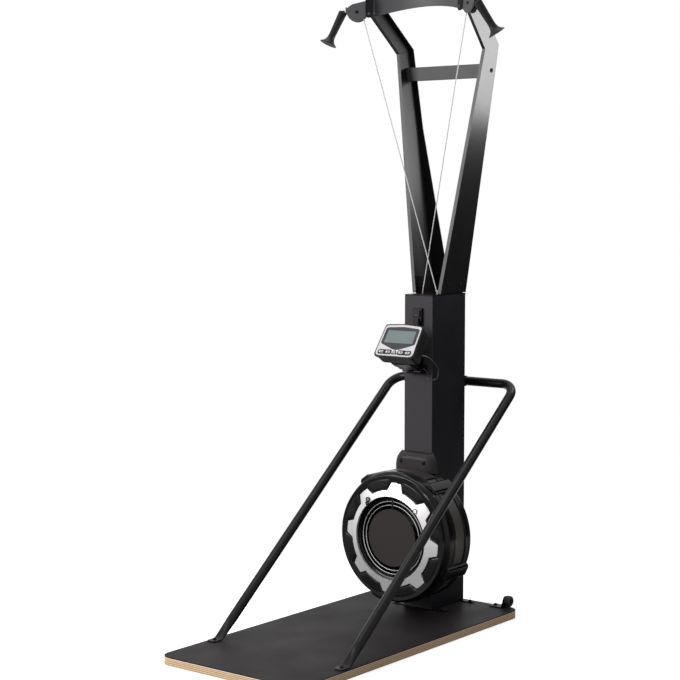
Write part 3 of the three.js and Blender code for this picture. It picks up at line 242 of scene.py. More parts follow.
def plywood_edge():
    """Plies of birch: layers along Z that alternate long grain and end grain, the top band a painted
    highlight.
    """
    ply_pair, waviness, highlight_height = 0.0062, 0.0012, 0.0236
    material, tree, shader = surface("birch_plywood", {"Roughness": 0.42})
    place = add_node(tree, "TexCoord")
    split = add_node(tree, "SeparateXYZ")
    texture = add_node(tree, "Group", {"Grain scale": 160, "Mottle scale": 9}, node_tree=GRAIN)
    wobble = add_node(tree, "Math", {1: waviness}, operation="MULTIPLY_ADD")
    plies = add_node(tree, "Math", {1: 2 * pi / ply_pair}, operation="MULTIPLY")
    wave = add_node(tree, "Math", operation="SINE")
    band = add_node(tree, "MapRange", {"From Min": -0.8, "From Max": 0.2})
    wood = add_node(tree, "Mix", {"A": (0.46, 0.285, 0.15, 1), "B": (0.82, 0.60, 0.37, 1)},
                    data_type="RGBA")
    fleck = add_node(tree, "Mix", {"Factor": 0.25}, data_type="RGBA", blend_type="MULTIPLY")
    ramp = add_node(tree, "ValToRGB")
    pore, clear = ramp.color_ramp.elements
    pore.position, pore.color = 0.35, (0.55, 0.46, 0.38, 1)
    clear.position, clear.color = 0.6, WHITE
    # Painted highlight: a pale colour over the board's top edge, where its lacquered rim catches the
    # light
    top_highlight_mask = add_node(tree, "MapRange", {"From Min": highlight_height, "From Max": highlight_height + 0.0004})
    top_highlight = add_node(tree, "Mix", {"B": (0.86, 0.78, 0.68, 1)}, data_type="RGBA")
    join(tree, (place, "Object", split, 0), (place, "Object", texture, "Vector"),
         (texture, "Mottle", wobble, 0), (split, "Z", wobble, 2), (wobble, 0, plies, 0),
         (plies, 0, wave, 0), (wave, 0, band, "Value"), (band, "Result", wood, "Factor"),
         (wood, "Result", fleck, "A"), (texture, "Grain", ramp, "Fac"),
         (ramp, "Color", fleck, "B"), (split, "Z", top_highlight_mask, "Value"),
         (top_highlight_mask, "Result", top_highlight, "Factor"), (fleck, "Result", top_highlight, "A"),
         (top_highlight, "Result", shader, "Base Color"))
    return material


PLYWOOD = plywood_edge()
MAT_RUBBER = finish("mat_rubber", (0.0125, 0.0103, 0.0115), 0.5, grain=(900, 0.00015),
                    mottle=(5, 0.1), specular=0.07)


def oblong(left, low, right, high):
    """The four corners of a rectangle in mm."""
    return [(left, low), (right, low), (right, high), (left, high)]


def round_off(bm, geometry, width, segments, affect="EDGES"):
    """Bevel edges, or the corners of a sheet, to a round of a width in mm."""
    bmesh.ops.bevel(bm, geom=geometry, offset=width * MM, segments=segments, profile=0.5,
                    affect=affect, material=-1, clamp_overlap=True)


def raised_side(bm):
    """Give a sheet a wall all round, and return the vertices of its new side."""
    raised = bmesh.ops.extrude_face_region(bm, geom=bm.faces[:])
    return [v for v in raised["geom"] if isinstance(v, bmesh.types.BMVert)]


def slab(outline, low, high, corner=0, edge=0, frame_at=None, segments=3):
    """A plate from an outline in mm, its corners rounded in plan and its rims softened."""
    bm = bmesh.new()
    bm.faces.new([bm.verts.new((a * MM, b * MM, low * MM)) for a, b in outline])
    if corner:
        round_off(bm, bm.verts[:], corner, 10, "VERTICES")
    bmesh.ops.translate(bm, vec=(0, 0, (high - low) * MM), verts=raised_side(bm))
    if edge:
        rims = [e for e in bm.edges if abs(e.verts[0].co.z - e.verts[1].co.z) < 0.01 * MM]
        round_off(bm, rims, edge, segments)
    if frame_at is not None:
        bm.transform(frame_at)
    return bm


deck = oblong(-HALF_WIDTH, -HALF_LENGTH, HALF_WIDTH, HALF_LENGTH)
make_piece("board", slab(deck, 0, BOARD_TOP, corner=BOARD_CORNER, edge=0.8), PLYWOOD, "frame",
           ["platform_board"])
make_piece("top_mat", slab(deck, BOARD_TOP + 0.1, MAT_TOP, corner=BOARD_CORNER, edge=0.8),
           MAT_RUBBER, "frame", ["platform_mat"])

# Mast base plate: laser-cut steel with four tabs beside the mast. A black dome bolt holds each
# tab to the board.
UP = (0, 0, 1)
BLACK_PAINT = finish("black_powder_coat", (0.0052, 0.005, 0.006), 0.3, grain=(1300, 0.00001),
                     mottle=(10, 0.15), specular=0.09)


def cad_copy(node):
    """A copy of a CAD piece with its loose triangles merged."""
    bm = bmesh.new()
    bm.from_mesh(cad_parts[node].data)
    bm.transform(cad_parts[node].matrix_world)
    bmesh.ops.remove_doubles(bm, verts=bm.verts, dist=MERGE)
    return bm


def softened(node, width, above=30, segments=2, where=None):
    """A copy of a CAD piece with its flat faces joined and its sharp edges rounded."""
    bm = cad_copy(node)
    bmesh.ops.dissolve_limit(bm, angle_limit=radians(1), verts=bm.verts, edges=bm.edges)
    rims = [e for e in bm.edges if len(e.link_faces) == 2 and e.calc_face_angle(0) > radians(above)
            and (where is None or where(e))]
    round_off(bm, rims, width, segments)
    return bm


def softened_piece(name, node, width, material=BLACK_PAINT, slot="black_paint", sharp=35, **edges):
    """A CAD piece of the frame with softened edges, in its real finish."""
    make_piece(name, softened(node, width, **edges), material, "frame", [node], sharp)


def turned(profile, centre, axis, steps, closed=True):
    """Spin a profile of radius and height in mm about an axis through a centre."""
    bm = bmesh.new()
    points = [bm.verts.new((radius * MM, 0, height * MM)) for radius, height in profile]
    edges = [bm.edges.new(pair) for pair in zip(points, points[1:])]
    if closed:
        edges.append(bm.edges.new((points[-1], points[0])))
    bmesh.ops.spin(bm, geom=points + edges, cent=(0, 0, 0), axis=(0, 0, 1), angle=2 * pi,
                   steps=steps, use_merge=True)
    turn = Vector(UP).rotation_difference(Vector(axis)).to_matrix().to_4x4()
    bm.transform(Matrix.Translation(Vector(centre) * MM) @ turn)
    return bm


def gathered(parts):
    """Several shapes in one mesh, each left whole."""
    whole = bmesh.new()
    for part in parts:
        carrier = bpy.data.meshes.new("carrier")
        part.to_mesh(carrier)
        whole.from_mesh(carrier)
        bpy.data.meshes.remove(carrier)
        part.free()
    return whole


def dome_bolt(centre, axis, radius, height, washer):
    """A button-head bolt with its washer and round socket, seated at centre."""
    washer_height, head_foot = 1.2, 1.4
    dome = [(radius * cos(turn), head_foot + (height - head_foot) * sin(turn))
            for turn in [radians(15 * step) for step in range(5)]]
    socket = [(radius * 0.36, height), (radius * 0.34, height - 2.2), (0, height - 2.4)]
    profile = [(0, 0), (washer, 0), (washer, washer_height), (radius, washer_height), *dome, *socket]
    return turned(profile, centre, axis, 24, closed=False)


def black_bolts(name, bolts):
    """Dome bolts in black paint on the frame, each given by its seat, axis and three sizes."""
    make_piece(name, gathered([dome_bolt(*bolt) for bolt in bolts]), BLACK_PAINT, "frame")


softened_piece("mast_base", "mast_base_plate", 0.7)
black_bolts("mast_base_bolts", [((x, y, 33.4), UP, 7, 6, 8.4)
                                for x in (-102, 102) for y in (423.3, 600)])

# Mast: a channel folded from 3 mm sheet with soft outer bends, satin black, closed in front by a
# flat cover in dark grey satin. Small dome screws sit in its sides near the top and at half
# height.
MAST_PAINT = finish("mast_satin_black", (0.0085, 0.0083, 0.0105), 0.5, grain=(1100, 0.00003),
                    mottle=(6, 0.18), specular=0.08)
COVER_PAINT = finish("cover_satin_grey", (0.048, 0.0440, 0.049), 0.6, grain=(1100, 0.00003),
                     mottle=(5, 0.07), specular=0.08)


def along_mast(edge):
    """Whether an edge is one of the channel's long outer bends."""
    low, high = edge.verts[0].co, edge.verts[1].co
    return abs(low.z - high.z) > 500 * MM and abs(low.x) > 60 * MM


softened_piece("mast_body", "mast_channel", 2.4, MAST_PAINT, segments=4, where=along_mast)
softened_piece("mast_cover", "mast_front_cover", 0.8, COVER_PAINT, "grey_paint", above=60)
black_bolts("mast_screws", [((side * 61.2, 426.1, z), (side, 0, 0), 3.2, 2.2, 3.6)
                            for side in (-1, 1) for z in (1143.6, 640)])

# Top cap: a steel plate with two slots for the cords, two leaning upstands that the arms are
# bolted to, and a hanger below it for the guide rollers.
softened_piece("top_cap", "mast_top_cap", 0.5, above=40, segments=1)

# Support tube: one round steel tube, 33.6 mm thick, bent round the back of the mast. Each end is
# pressed flat, which leaves a crease, and is bent to lie on the deck under one dome bolt.
BACKWARD = (0, 1, 0)
TUBE_PAINT = finish("tube_powder_coat", (0.0078, 0.0072, 0.0082), 0.27, grain=(1300, 0.00001),
                    mottle=(10, 0.15), specular=0.15)


def lofted(rings):
    """Skin a row of rings with equal counts, given in mm, and close both ends."""
    bm = bmesh.new()
    rows = [[bm.verts.new(Vector(point) * MM) for point in ring] for ring in rings]
    loops = [[bm.edges.new((row[i - 1], row[i])) for i in range(len(row))] for row in rows]
    for here, there in zip(loops, loops[1:]):
        bmesh.ops.bridge_loops(bm, edges=here + there)
    for row in (rows[0], rows[-1]):
        bm.faces.new(row)
    return bm


def squared(value, power):
    """A sine or cosine raised to a power that squares a round off, its sign kept."""
    return copysign(abs(value) ** power, value)


def support_rings():
    """The tube's rings from one pressed foot up the leg and round the bend, then mirrored."""
    leg, radius, bend, corners = 275, 16.8, 60, 32
    foot, bar = Vector((leg, -350.5, 46)), Vector((leg, 633.35, 851))
    way = (bar - foot).normalized()
    length = (bar - foot).length
    # y and z, or the way along the leg, then half width and height, squareness, crease depth
    pressed = [(-409.5, 31.6, 11, 1.6, 0.5, 0), (-407, 32, 15, 2.3, 0.4, 0),
               (-401, 32.2, 18, 2.6, 0.35, 0), (-378, 32.2, 18.4, 2.7, 0.35, 0),
               (-370, 32.8, 18.6, 3.0, 0.45, 0.2), (-362.5, 36.6, 18.8, 4.2, 0.6, 1.2)]
    opening = [(3, 18.6, 6.2, 0.7, 2.6), (14, 18.2, 8.8, 0.8, 4.2), (27, 17.6, 11.6, 0.88, 4.0),
               (42, 16.8, 14.0, 0.95, 1.8), (58, 16.7, 16.2, 1.0, 0.4), (76, radius, radius, 1, 0)]
    half = [(Vector((leg, y, z)), *shape) for y, z, *shape in pressed]
    half += [(foot + way * along, *shape) for along, *shape in opening]
    half += [(foot + way * along, radius, radius, 1, 0) for along in (300, 600, 900)]
    for step in range(13):
        turn = radians(7.5 * step)
        place = foot + way * (length - bend * (1 - sin(turn)))
        place.x = leg - bend * (1 - cos(turn))
        half.append((place, radius, radius, 1, 0))
    whole = half + [(Vector((-p.x, p.y, p.z)), *rest) for p, *rest in reversed(half)]
    rings = []
    for i, (place, wide, high, square, crease) in enumerate(whole):
        before = whole[max(i - 1, 0)][0]
        after = whole[min(i + 1, len(whole) - 1)][0]
        tangent = (after - before).normalized()
        across = Vector((0, -way.z, way.y)).cross(tangent).normalized()
        if abs(tangent.x) < 0.01:
            across = Vector((-1, 0, 0)) if tangent.y > 0 else Vector((1, 0, 0))
        up = tangent.cross(across).normalized()
        ring = []
        for step in range(corners):
            turn = 2 * pi * step / corners
            out = wide * squared(cos(turn), square)
            rise = high * squared(sin(turn), square)
            if sin(turn) > 0:
                rise -= crease * max(0, 1 - (out / (0.55 * wide)) ** 2)
            ring.append(place + across * out + up * rise)
        rings.append(ring)
    return rings


make_piece("support_tube", lofted(support_rings()), TUBE_PAINT, "frame",
           ["support_tube"], sharp=50)
black_bolts("support_foot_bolts", [((x, -388.7, 34.4), UP, 7, 6.5, 8.6) for x in (-274.6, 274.6)])
softened_piece("support_clamp", "support_saddle", 0.6, above=40)
black_bolts("support_clamp_bolts", [((x, 620.2, z), BACKWARD, 5.5, 5, 7)
                                    for x in (-40, 40) for z in (822.6, 879.4)])

# Transport wheels: two solid rubber wheels at the rear corners, each on a folded steel bracket
# that is bolted to the deck.
SIDEWAYS = (1, 0, 0)
WHEEL_RUBBER = finish("wheel_rubber", (0.012, 0.0115, 0.012), 0.6, grain=(700, 0.0002))
SIDES = (("right", 1), ("left", -1))
tread = [(5.3, -9.5), (9, -9.5), (9.6, -11), (14, -11), (15, -9.6), (18, -9.6), (20, -7.2),
         (20, 7.2), (18, 9.6), (15, 9.6), (14, 11), (9.6, 11), (9, 9.5), (5.3, 9.5)]
for side, mirror in SIDES:
    make_piece(f"{side}_wheel", turned(tread, (mirror * 253.5, 627.5, 51), SIDEWAYS, 64),
               WHEEL_RUBBER, f"{side}_wheel", [f"{side}_transport_wheel"])
    softened_piece(f"{side}_wheel_fork", f"{side}_wheel_bracket", 0.7, above=40)
    black_bolts(f"{side}_wheel_bolt", [((mirror * 203.5, 616.2, 33.6), UP, 6.5, 5.5, 8)])

# Drive inside the mast: nylon guide rollers under the cap, moulded cord drums with their return
# spools on a bright steel shaft in two ball bearings, and rubber return cords.
NYLON = finish("white_nylon", (0.66, 0.65, 0.62), 0.4, grain=(500, 0.00006), mottle=(30, 0.05))
STEEL = finish("bright_steel", (0.62, 0.62, 0.63), 0.28, grain=(900, 0.00002), mottle=(20, 0.08),
               metallic=1.0)
DRUM_PLASTIC = finish("drum_plastic", (0.018, 0.018, 0.019), 0.5, grain=(700, 0.0001))
RETURN_RUBBER = finish("return_cord_rubber", (0.02, 0.019, 0.02), 0.7, grain=(1200, 0.0002))


def dress(material, *names):
    """Give CAD pieces that stay as they are their real finish."""
    for name in names:
        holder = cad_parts[name]
        for part in holder.material_slots:
            part.link = "OBJECT"
            part.material = material


roller = [(3.3, -5), (10.3, -5), (10.3, -4.4), (8.4, -2.2), (8.1, 0), (8.4, 2.2), (10.3, 4.4),
          (10.3, 5), (3.3, 5)]
for side, x, y in (("left", 30.7, 472.35), ("right", -30.7, 484.35)):
    make_piece(f"{side}_roller", turned(roller, (x, y, 1164.2), BACKWARD, 48), NYLON,
               f"{side}_roller", [f"{side}_guide_roller"])
dress(DRUM_PLASTIC, "left_cord_drum", "right_cord_drum")
dress(RETURN_RUBBER, "left_return_cord", "right_return_cord")
dress(STEEL, "fan_shaft", "front_shaft_bearing", "rear_shaft_bearing")

# Fan housing: a moulded rear dish on the mast, a band of finely perforated sheet, and a front
# shell with a round shoulder and four lugs whose screws draw the housing together. A thin
# glossy ring trims the joint between shell and band.
BLACK_PLASTIC = finish("housing_plastic", (0.0062, 0.0056, 0.006), 0.19, grain=(900, 0.00001),
                       mottle=(9, 0.15), specular=0.16, spread=0.03)
FAN_HEIGHT = 315
FAN = (0, 0, FAN_HEIGHT)


def perforated_sheet():
    """Brown-grey sheet with rows of fine holes around the fan's axis."""
    holes_round, hole_pitch = 290, 0.005
    material, tree, shader = surface("perforated_band", {"Roughness": 0.5, "Metallic": 0.3})
    place = add_node(tree, "TexCoord")
    split = add_node(tree, "SeparateXYZ")
    rise = add_node(tree, "Math", {1: FAN_HEIGHT * MM}, operation="SUBTRACT")
    around = add_node(tree, "Math", operation="ARCTAN2")
    columns = add_node(tree, "Math", {1: holes_round}, operation="MULTIPLY")
    rows = add_node(tree, "Math", {1: 2 * pi / hole_pitch}, operation="MULTIPLY")
    column_wave = add_node(tree, "Math", operation="SINE")
    row_wave = add_node(tree, "Math", operation="SINE")
    holes = add_node(tree, "Math", operation="MULTIPLY")
    mask = add_node(tree, "MapRange", {"From Min": 0.1, "From Max": 0.35})
    tone = add_node(tree, "Mix", {"A": (0.066, 0.060, 0.053, 1), "B": (0.012, 0.011, 0.010, 1)},
                    data_type="RGBA")
    join(tree, (place, "Object", split, 0), (split, "Z", rise, 0), (split, "X", around, 0),
         (rise, 0, around, 1), (around, 0, columns, 0), (columns, 0, column_wave, 0),
         (split, "Y", rows, 0), (rows, 0, row_wave, 0), (column_wave, 0, holes, 0),
         (row_wave, 0, holes, 1), (holes, 0, mask, "Value"), (mask, "Result", tone, "Factor"),
         (tone, "Result", shader, "Base Color"))
    return material


def arc(centre, radius, start, end, steps):
    """Points of a profile's round, centre and radius in mm, angles in degrees."""
    turns = [radians(start + (end - start) * i / steps) for i in range(steps + 1)]
    return [(centre[0] + radius * cos(t), centre[1] + radius * sin(t)) for t in turns]


def about_fan(profile, steps=160, closed=True):
    """A profile of radius and depth in mm, spun about the fan's axis."""
    return turned(profile, FAN, BACKWARD, steps, closed)


def laid_on(across, up, outward, origin):
    """The matrix that takes a slab's two directions and its thickness to a plane, origin in mm."""
    rows = [(*ways, place * MM) for *ways, place in zip(across, up, outward, origin)]
    return Matrix((*rows, (0, 0, 0, 1)))


BAND_SHEET = perforated_sheet()
rear_dish = [(12, 402.3), (229, 402.3), (231, 400), (231, 371.2), (233, 371.2),
             *arc((232, 374.2), 3, -90, 0, 3), (235, 388), (233.6, 389), (233.6, 391), (235, 392),
             *arc((229, 400.2), 6, 0, 90, 5), (12, 406.2)]
make_piece("fan_rear_dish", about_fan(rear_dish), BLACK_PLASTIC, "frame",
           ["fan_rear_shell"])
band = [(228.5, 308.1), (230.5, 308.1), (230.5, 371), (228.5, 371)]
make_piece("fan_band", about_fan(band), BAND_SHEET, "frame", ["fan_mesh_band"])
front_shell = [(237, 307.9), (237, 300), (235.8, 299), (235.8, 297.4), (237, 296.4),
               *arc((217, 276.1), 20, 0, -90, 10), (200, 256.1), (150.7, 256.1),
               *arc((149.2, 245.5), 1.5, 0, -180, 4), (147.7, 249), (143, 251.4), (141.6, 254.4),
               (141.6, 258.5), (134, 259.5), (132, 262), (132, 270), (134, 272), (147.7, 272),
               (147.7, 259.1), (215, 259.1), *arc((217, 276.1), 17, -80, 0, 6), (234, 307.9)]


def shell_lug(degrees):
    """A lug on the front shell for one screw, at an angle round the fan's axis."""
    turn = radians(degrees)
    outward = Vector((cos(turn), 0, sin(turn)))
    along = Vector((-sin(turn), 0, cos(turn)))
    section = [(-27, 226), (27, 226), (26, 240), (22, 247), (15, 250.6), (-15, 250.6),
               (-22, 247), (-26, 240)]
    return slab(section, 275, 400, edge=4.5, frame_at=laid_on(along, outward, BACKWARD, FAN),
                segments=5)


def on_housing(degrees, radius, y):
    """A point in mm at an angle round the fan's axis."""
    return (radius * cos(radians(degrees)), y, FAN_HEIGHT + radius * sin(radians(degrees)))


lug_turns = (52, 126, 248, 333)
make_piece("fan_front_shell",
           gathered([about_fan(front_shell), *[shell_lug(turn) for turn in lug_turns]]),
           BLACK_PLASTIC, "frame", ["fan_front_shell"])
black_bolts("fan_lug_screws", [(on_housing(turn, 240, 275.2), (0, -1, 0), 4.8, 2.6, 5.6)
                               for turn in lug_turns])
TRIM_GLOSS = finish("trim_gloss", (0.03, 0.03, 0.032), 0.16, grain=(900, 0.000005), mottle=(9, 0.1),
                    spread=0.02)
trim = [(234.4, 308), (237.2, 308), (237.6, 309.4), (237.2, 310.8), (234.4, 310.8)]
make_piece("fan_trim_ring", about_fan(trim), TRIM_GLOSS, "frame")
dress(DRUM_PLASTIC, "fan_wheel")

# Damper: a silver toothed ring whose face slopes outwards, held on a black ring with a soft pad
# between every two teeth. It turns on the shell's neck to open and close the inlet.
# A small pull loop and a square pointer sit on its face.
SILVER = finish("silver_paint", (0.68, 0.665, 0.68), 0.3, grain=(1400, 0.00003), mottle=(12, 0.05),
                metallic=0.35, specular=0.6)
GRIP_RUBBER = finish("grip_pad_rubber", (0.0076, 0.0068, 0.0072), 0.21, grain=(900, 0.00001),
                     mottle=(12, 0.15), specular=0.17, spread=0.03)
TEETH = 8
tooth_step = 2 * pi / TEETH
first_tooth = radians(-5.5)
neck, tooth_root, tooth_tip, ring_rear = 151.4, 173, 207, 250.2


def silver_ring():
    """The toothed front face on its cone, drawn back to the ring's rear and chamfered."""
    crest, slope, chamfer = 235.7, 14 / 56, 2.6
    rim = []
    for tooth in range(TEETH):
        middle = first_tooth + tooth * tooth_step
        corners = [(tooth_root, -10.6), (tooth_tip, -5), (tooth_tip, -1.7), (tooth_tip, 1.7),
                   (tooth_tip, 5), (tooth_root, 10.6), (tooth_root, 15.4), (tooth_root, 19.9),
                   (tooth_root, 25.1), (tooth_root, 29.6)]
        rim += [(radius, middle + radians(off)) for radius, off in corners]
    bm = bmesh.new()

    def spot(radius, turn):
        y = crest + slope * (radius - neck)
        return bm.verts.new(Vector((radius * cos(turn), y, FAN_HEIGHT + radius * sin(turn))) * MM)

    outside = [spot(radius, turn) for radius, turn in rim]
    inside = [spot(neck, turn) for radius, turn in rim]
    for i in range(len(rim)):
        bm.faces.new((inside[i - 1], inside[i], outside[i], outside[i - 1]))
    for v in raised_side(bm):
        v.co.y = ring_rear * MM
    bmesh.ops.recalc_face_normals(bm, faces=bm.faces)
    front = [e for e in bm.edges if all(v.co.y < (ring_rear - 0.5) * MM for v in e.verts)
             and e.calc_face_angle(0) > radians(30)
             and abs(e.verts[0].co.y - e.verts[1].co.y) < 12 * MM]
    round_off(bm, front, chamfer, 2)
    return bm


def grip_pad(number):
    """One cushion between two teeth: full in the middle, drawn down to a crease all round."""
    foot, reach, fullness, back = 174, 41, 5.3, 250.9
    bm = bmesh.new()
    bmesh.ops.create_grid(bm, x_segments=24, y_segments=14, size=1)
    middle = first_tooth + (number + 0.5) * tooth_step
    for v in bm.verts:
        u, w = v.co.x, (v.co.y + 1) / 2
        radius = foot + w * reach
        inward = max(0, min(1, (tooth_tip - radius) / (tooth_tip - tooth_root)))
        half = tooth_step / 2 - radians(5.4 + 5.6 * inward) - 0.8 / radius
        turn = middle + u * half
        side = max(0, 1 - abs(u) ** 5) ** 0.5
        ends = max(0, 1 - abs(2 * w - 1) ** 5) ** 0.5
        y = ring_rear - fullness * side * ends
        v.co = Vector((radius * cos(turn), y, FAN_HEIGHT + radius * sin(turn))) * MM
    for v in raised_side(bm):
        v.co.y = back * MM
    return bm


# Out from the neck to a narrow crease and a round rim, then back to the neck on a slope that
# crosses the front face and shows as a shallow cone between the pads
grip_base = [(neck, 250.6), (214, 250.6), (215.4, 250.2), (216.4, 248), (215.93, 252.35),
             *arc((220, 250), 4.7, -128.5714, 0, 6), (225, 252), (225, 254), (223.6, 244.4),
             (neck, 255.6)]
make_piece("damper_front", silver_ring(), SILVER, "damper", ["damper_ring"])
make_piece("damper_grip",
           gathered([about_fan(grip_base), *[grip_pad(number) for number in range(TEETH)]]),
           GRIP_RUBBER, "damper", ["damper_grip_ring"], sharp=50)
small_eye, large_eye = [arc((radius, 0), 2.3, 0, 315, 7) for radius in (5, 7)]
make_piece("damper_pull_loop",
           gathered([turned(small_eye, (-101.5, 234.5, 432.5), (0, -1, 0.15), 32),
                     turned(large_eye, (-98, 234.5, 446), (0, -1, 0.15), 32)]),
           GRIP_RUBBER, "damper")
# A square frame whose line is cut once, at its lower left corner
pointer = [(-8, -8), (8, -8), (8, 8), (-8, 8), (-8, -8.01), (-5.6, -5.6), (-5.6, 5.6), (5.6, 5.6),
           (5.6, -5.6), (-5.6, -5.61)]
pointer_lean = Matrix.Rotation(radians(76), 4, "X")
pointer_seat = Matrix.Translation(Vector((110, 235.8, 426)) * MM) @ pointer_lean
make_piece("damper_pointer", slab(pointer, 0, 0.5, frame_at=pointer_seat), GRIP_RUBBER, "damper")

# Inlet: bright wire rings on four black spokes inside the shell's neck, with a matt brown-black
# disc over the fan's hub and a small black clip at the top.
DISC_PLASTIC = finish("disc_plastic", (0.034, 0.0285, 0.0285), 0.6, grain=(800, 0.00008),
                      mottle=(25, 0.08), specular=0.1)
wires = [about_fan(arc((wire_radius, 253.4), 1.7, 0, 324, 9), 120)
         for wire_radius in (117.8, 131.6, 145.4)]
spokes = [turned([(0, 98), (1.6, 98), (1.6, 146), (0, 146)], (0, 256, FAN_HEIGHT),
                 (cos(quarter), 0, sin(quarter)), 12, closed=False)
          for quarter in (0, pi / 2, pi, 3 * pi / 2)]
make_piece("inlet_wires", gathered(wires), STEEL, "frame", ["inlet_grille"])
make_piece("inlet_spokes", gathered(spokes), BLACK_PLASTIC, "frame")
disc = [(0, 248.0), (9, 248.0), (10, 247.6), (11, 248.0), (92, 248.0), (94, 247.5),
        *arc((101.8, 249.5), 2.1, -90, 60, 5), (101, 251.4), (0, 251.4)]
make_piece("hub_cover", about_fan(disc, 120, closed=False), DISC_PLASTIC, "frame",
           ["hub_disc"])
make_piece("inlet_clip", slab(oblong(-3.2, 104, 3.2, 149), 250.4, 253, edge=0.8,
                              frame_at=laid_on(SIDEWAYS, UP, BACKWARD, FAN)),
           GRIP_RUBBER, "frame")

# Neck hood: a moulded cover with round shoulders between mast and housing, held by two screws,
# and a collar that carries its line forward over the band.
HOOD_PLASTIC = finish("hood_plastic", (0.026, 0.0232, 0.0238), 0.4, grain=(900, 0.00002),
                      mottle=(9, 0.1), specular=0.14)
HOUSING_RIM = 237.4


def hood_rings():
    """Squared-off half rounds that stand on the housing's rim and draw in towards the top."""
    steps, spokes, top, wall = 14, 28, 608.8, 406.2
    foot_half, drawn_in, foot_depth, rounded_back = 87.2, 18, 35.8, 22
    rings = []
    for step in range(steps + 1):
        rise = step / steps
        half = foot_half - drawn_in * max(0, (rise - 0.25) / 0.75) ** 1.8
        depth = foot_depth - rounded_back * max(0, (rise - 0.55) / 0.45) ** 2.4
        ring = []
        for spoke in range(spokes + 1):
            turn = pi * spoke / spokes
            x = half * squared(cos(turn), 0.45)
            y = wall - depth * abs(sin(turn)) ** 0.62
            low = FAN_HEIGHT + sqrt(HOUSING_RIM ** 2 - x ** 2)
            ring.append((x, y, low + (top - low) * rise))
        rings.append(ring)
    return rings


def rim_bar(profile, start, end, steps):
    """A bar that follows the housing's rim between two angles."""
    turns = [start + (end - start) * i / steps for i in range(steps + 1)]
    return lofted([[on_housing(turn, radius, y) for radius, y in profile] for turn in turns])


collar = [(231, 310.9), (236, 310.9), (238, 314), (238.6, 330), (238.6, 352), (237.8, 370),
          (231, 370.6)]
make_piece("neck_hood", lofted(hood_rings()), HOOD_PLASTIC, "frame", ["neck_hood"],
           sharp=60)
make_piece("neck_collar", rim_bar(collar, 64.5, 116.5, 34), HOOD_PLASTIC, "frame",
           sharp=50)
black_bolts("hood_screws", [((x, 372.6, 575), (0.25 * x / 51, -1, 0), 6.4, 3, 8.4)
                            for x in (-52, 52)])

# Arms: two bent sheet channels, bolted to the cap, that lean outwards and bend forward at the
# top, in black gloss. The right one is the left one mirrored. A rectangular tube joins them near
# the top with one bolt through each web.
ARM_GLOSS = finish("arm_gloss_black", (0.0075, 0.0072, 0.0082), 0.3, grain=(1300, 0.0000006),
                   mottle=(10, 0.15), specular=0.24, spread=0.01)
lean = radians(8.7)
WEB_FOOT, CAP_TOP, FOLD_INSIDE = 62.2, 1181.2, 3.3


def on_web(side, y, z, inside=0):
    """A point on the outer face of an arm's web, or so far inside it."""
    return (side * (WEB_FOOT - inside + (z - CAP_TOP) * tan(lean)), y, z)


for side, mirror in SIDES:
    arm = softened("left_arm", 1.1, above=25)
    bmesh.ops.scale(arm, vec=(-mirror, 1, 1), verts=arm.verts)
    make_piece(f"{side}_upright", arm, ARM_GLOSS, "frame", [f"{side}_arm"])
    web_way = (mirror * cos(lean), 0, -sin(lean))
    black_bolts(f"{side}_upright_bolts",
                [(on_web(mirror, 590, 1981.5), web_way, 6.2, 4.6, 8.6),
                 *[(on_web(mirror, y, 1212), web_way, 5, 3.6, 7) for y in (500, 575)]])
    fold_start, fold_end = [Vector(on_web(mirror, y, z, FOLD_INSIDE))
                            for y, z in ((538, 2054.4), (612, 2072.6))]
    make_piece(f"{side}_bend_line", turned([(0, 0), (0.8, 0), (0.8, 76.2), (0, 76.2)], fold_start,
                                           fold_end - fold_start, 8, closed=False),
               BLACK_PAINT, "frame")
CROSSBAR_PAINT = finish("crossbar_satin", (0.052, 0.050, 0.052), 0.5, grain=(1200, 0.00003),
                        mottle=(8, 0.08), specular=0.25)
softened_piece("upper_crossbar", "crossbar", 1.6, CROSSBAR_PAINT, above=40, segments=3)

# Head: one long curved plate across the top whose round ends face the ears, each ear folded from
# sheet. A black plate over each ear's inner part is painted shade of its fold. A nylon sheave
# turns on a bolt between ear and plate, and a bush guides the cord out.
HEAD_PAINT = finish("head_satin_grey", (0.060, 0.058, 0.062), 0.45, grain=(1200, 0.00003),
                    mottle=(6, 0.1), specular=0.2)
softened_piece("head_plate", "bow_plate", 0.8, HEAD_PAINT, "grey_paint", sharp=25, above=40)
sweep = radians(25)
EAR_BOLT = (241.3, 352.1, 2196)
SHEAVE_DEPTH = 11.5
SHEAVE_GROOVE = [(4.3, -5), (17, -5), (19.4, -4.6), (20, -4), (19.6, -3.2), (14.6, -1.8), (13.8, 0),
                 (14.6, 1.8), (19.6, 3.2), (20, 4), (19.4, 4.6), (17, 5), (4.3, 5)]
SHEAVE_NYLON = finish("sheave_nylon", (0.72, 0.69, 0.65), 0.4, grain=(700, 0.00003),
                      mottle=(40, 0.06))
BUSH_PLASTIC = finish("bush_plastic", (0.02, 0.019, 0.02), 0.4, grain=(700, 0.00005))
# Outline of the black plate that is painted shade: it stands for the shaded fold of each grey ear
fold_shade_outline = [(-61, -16), (-61, 47), (-33, 47), (-32, 6), (-34, -14), (-40, -22), (-54, -22)]
mouth = [(6, -3), (7.4, -3), (8.2, -2.2), (8.2, 2.2), (7.4, 3), (6, 3), (4.6, 1.6), (3.8, 0),
         (4.6, -1.6)]


def on_ear(side, out, behind, up):
    """A point in the ear's own frame: outward along it, behind its face, up from its bolt."""
    x = EAR_BOLT[0] + out * cos(sweep) + behind * sin(sweep)
    y = EAR_BOLT[1] - out * sin(sweep) + behind * cos(sweep)
    return Vector((side * x, y, EAR_BOLT[2] + up))


def bush_and_stop(side):
    """Where a cord leaves its bush, and where its stop hangs, in mm."""
    return on_ear(side, 38.5, SHEAVE_DEPTH, 11), on_ear(side, 52.5, SHEAVE_DEPTH, 2)


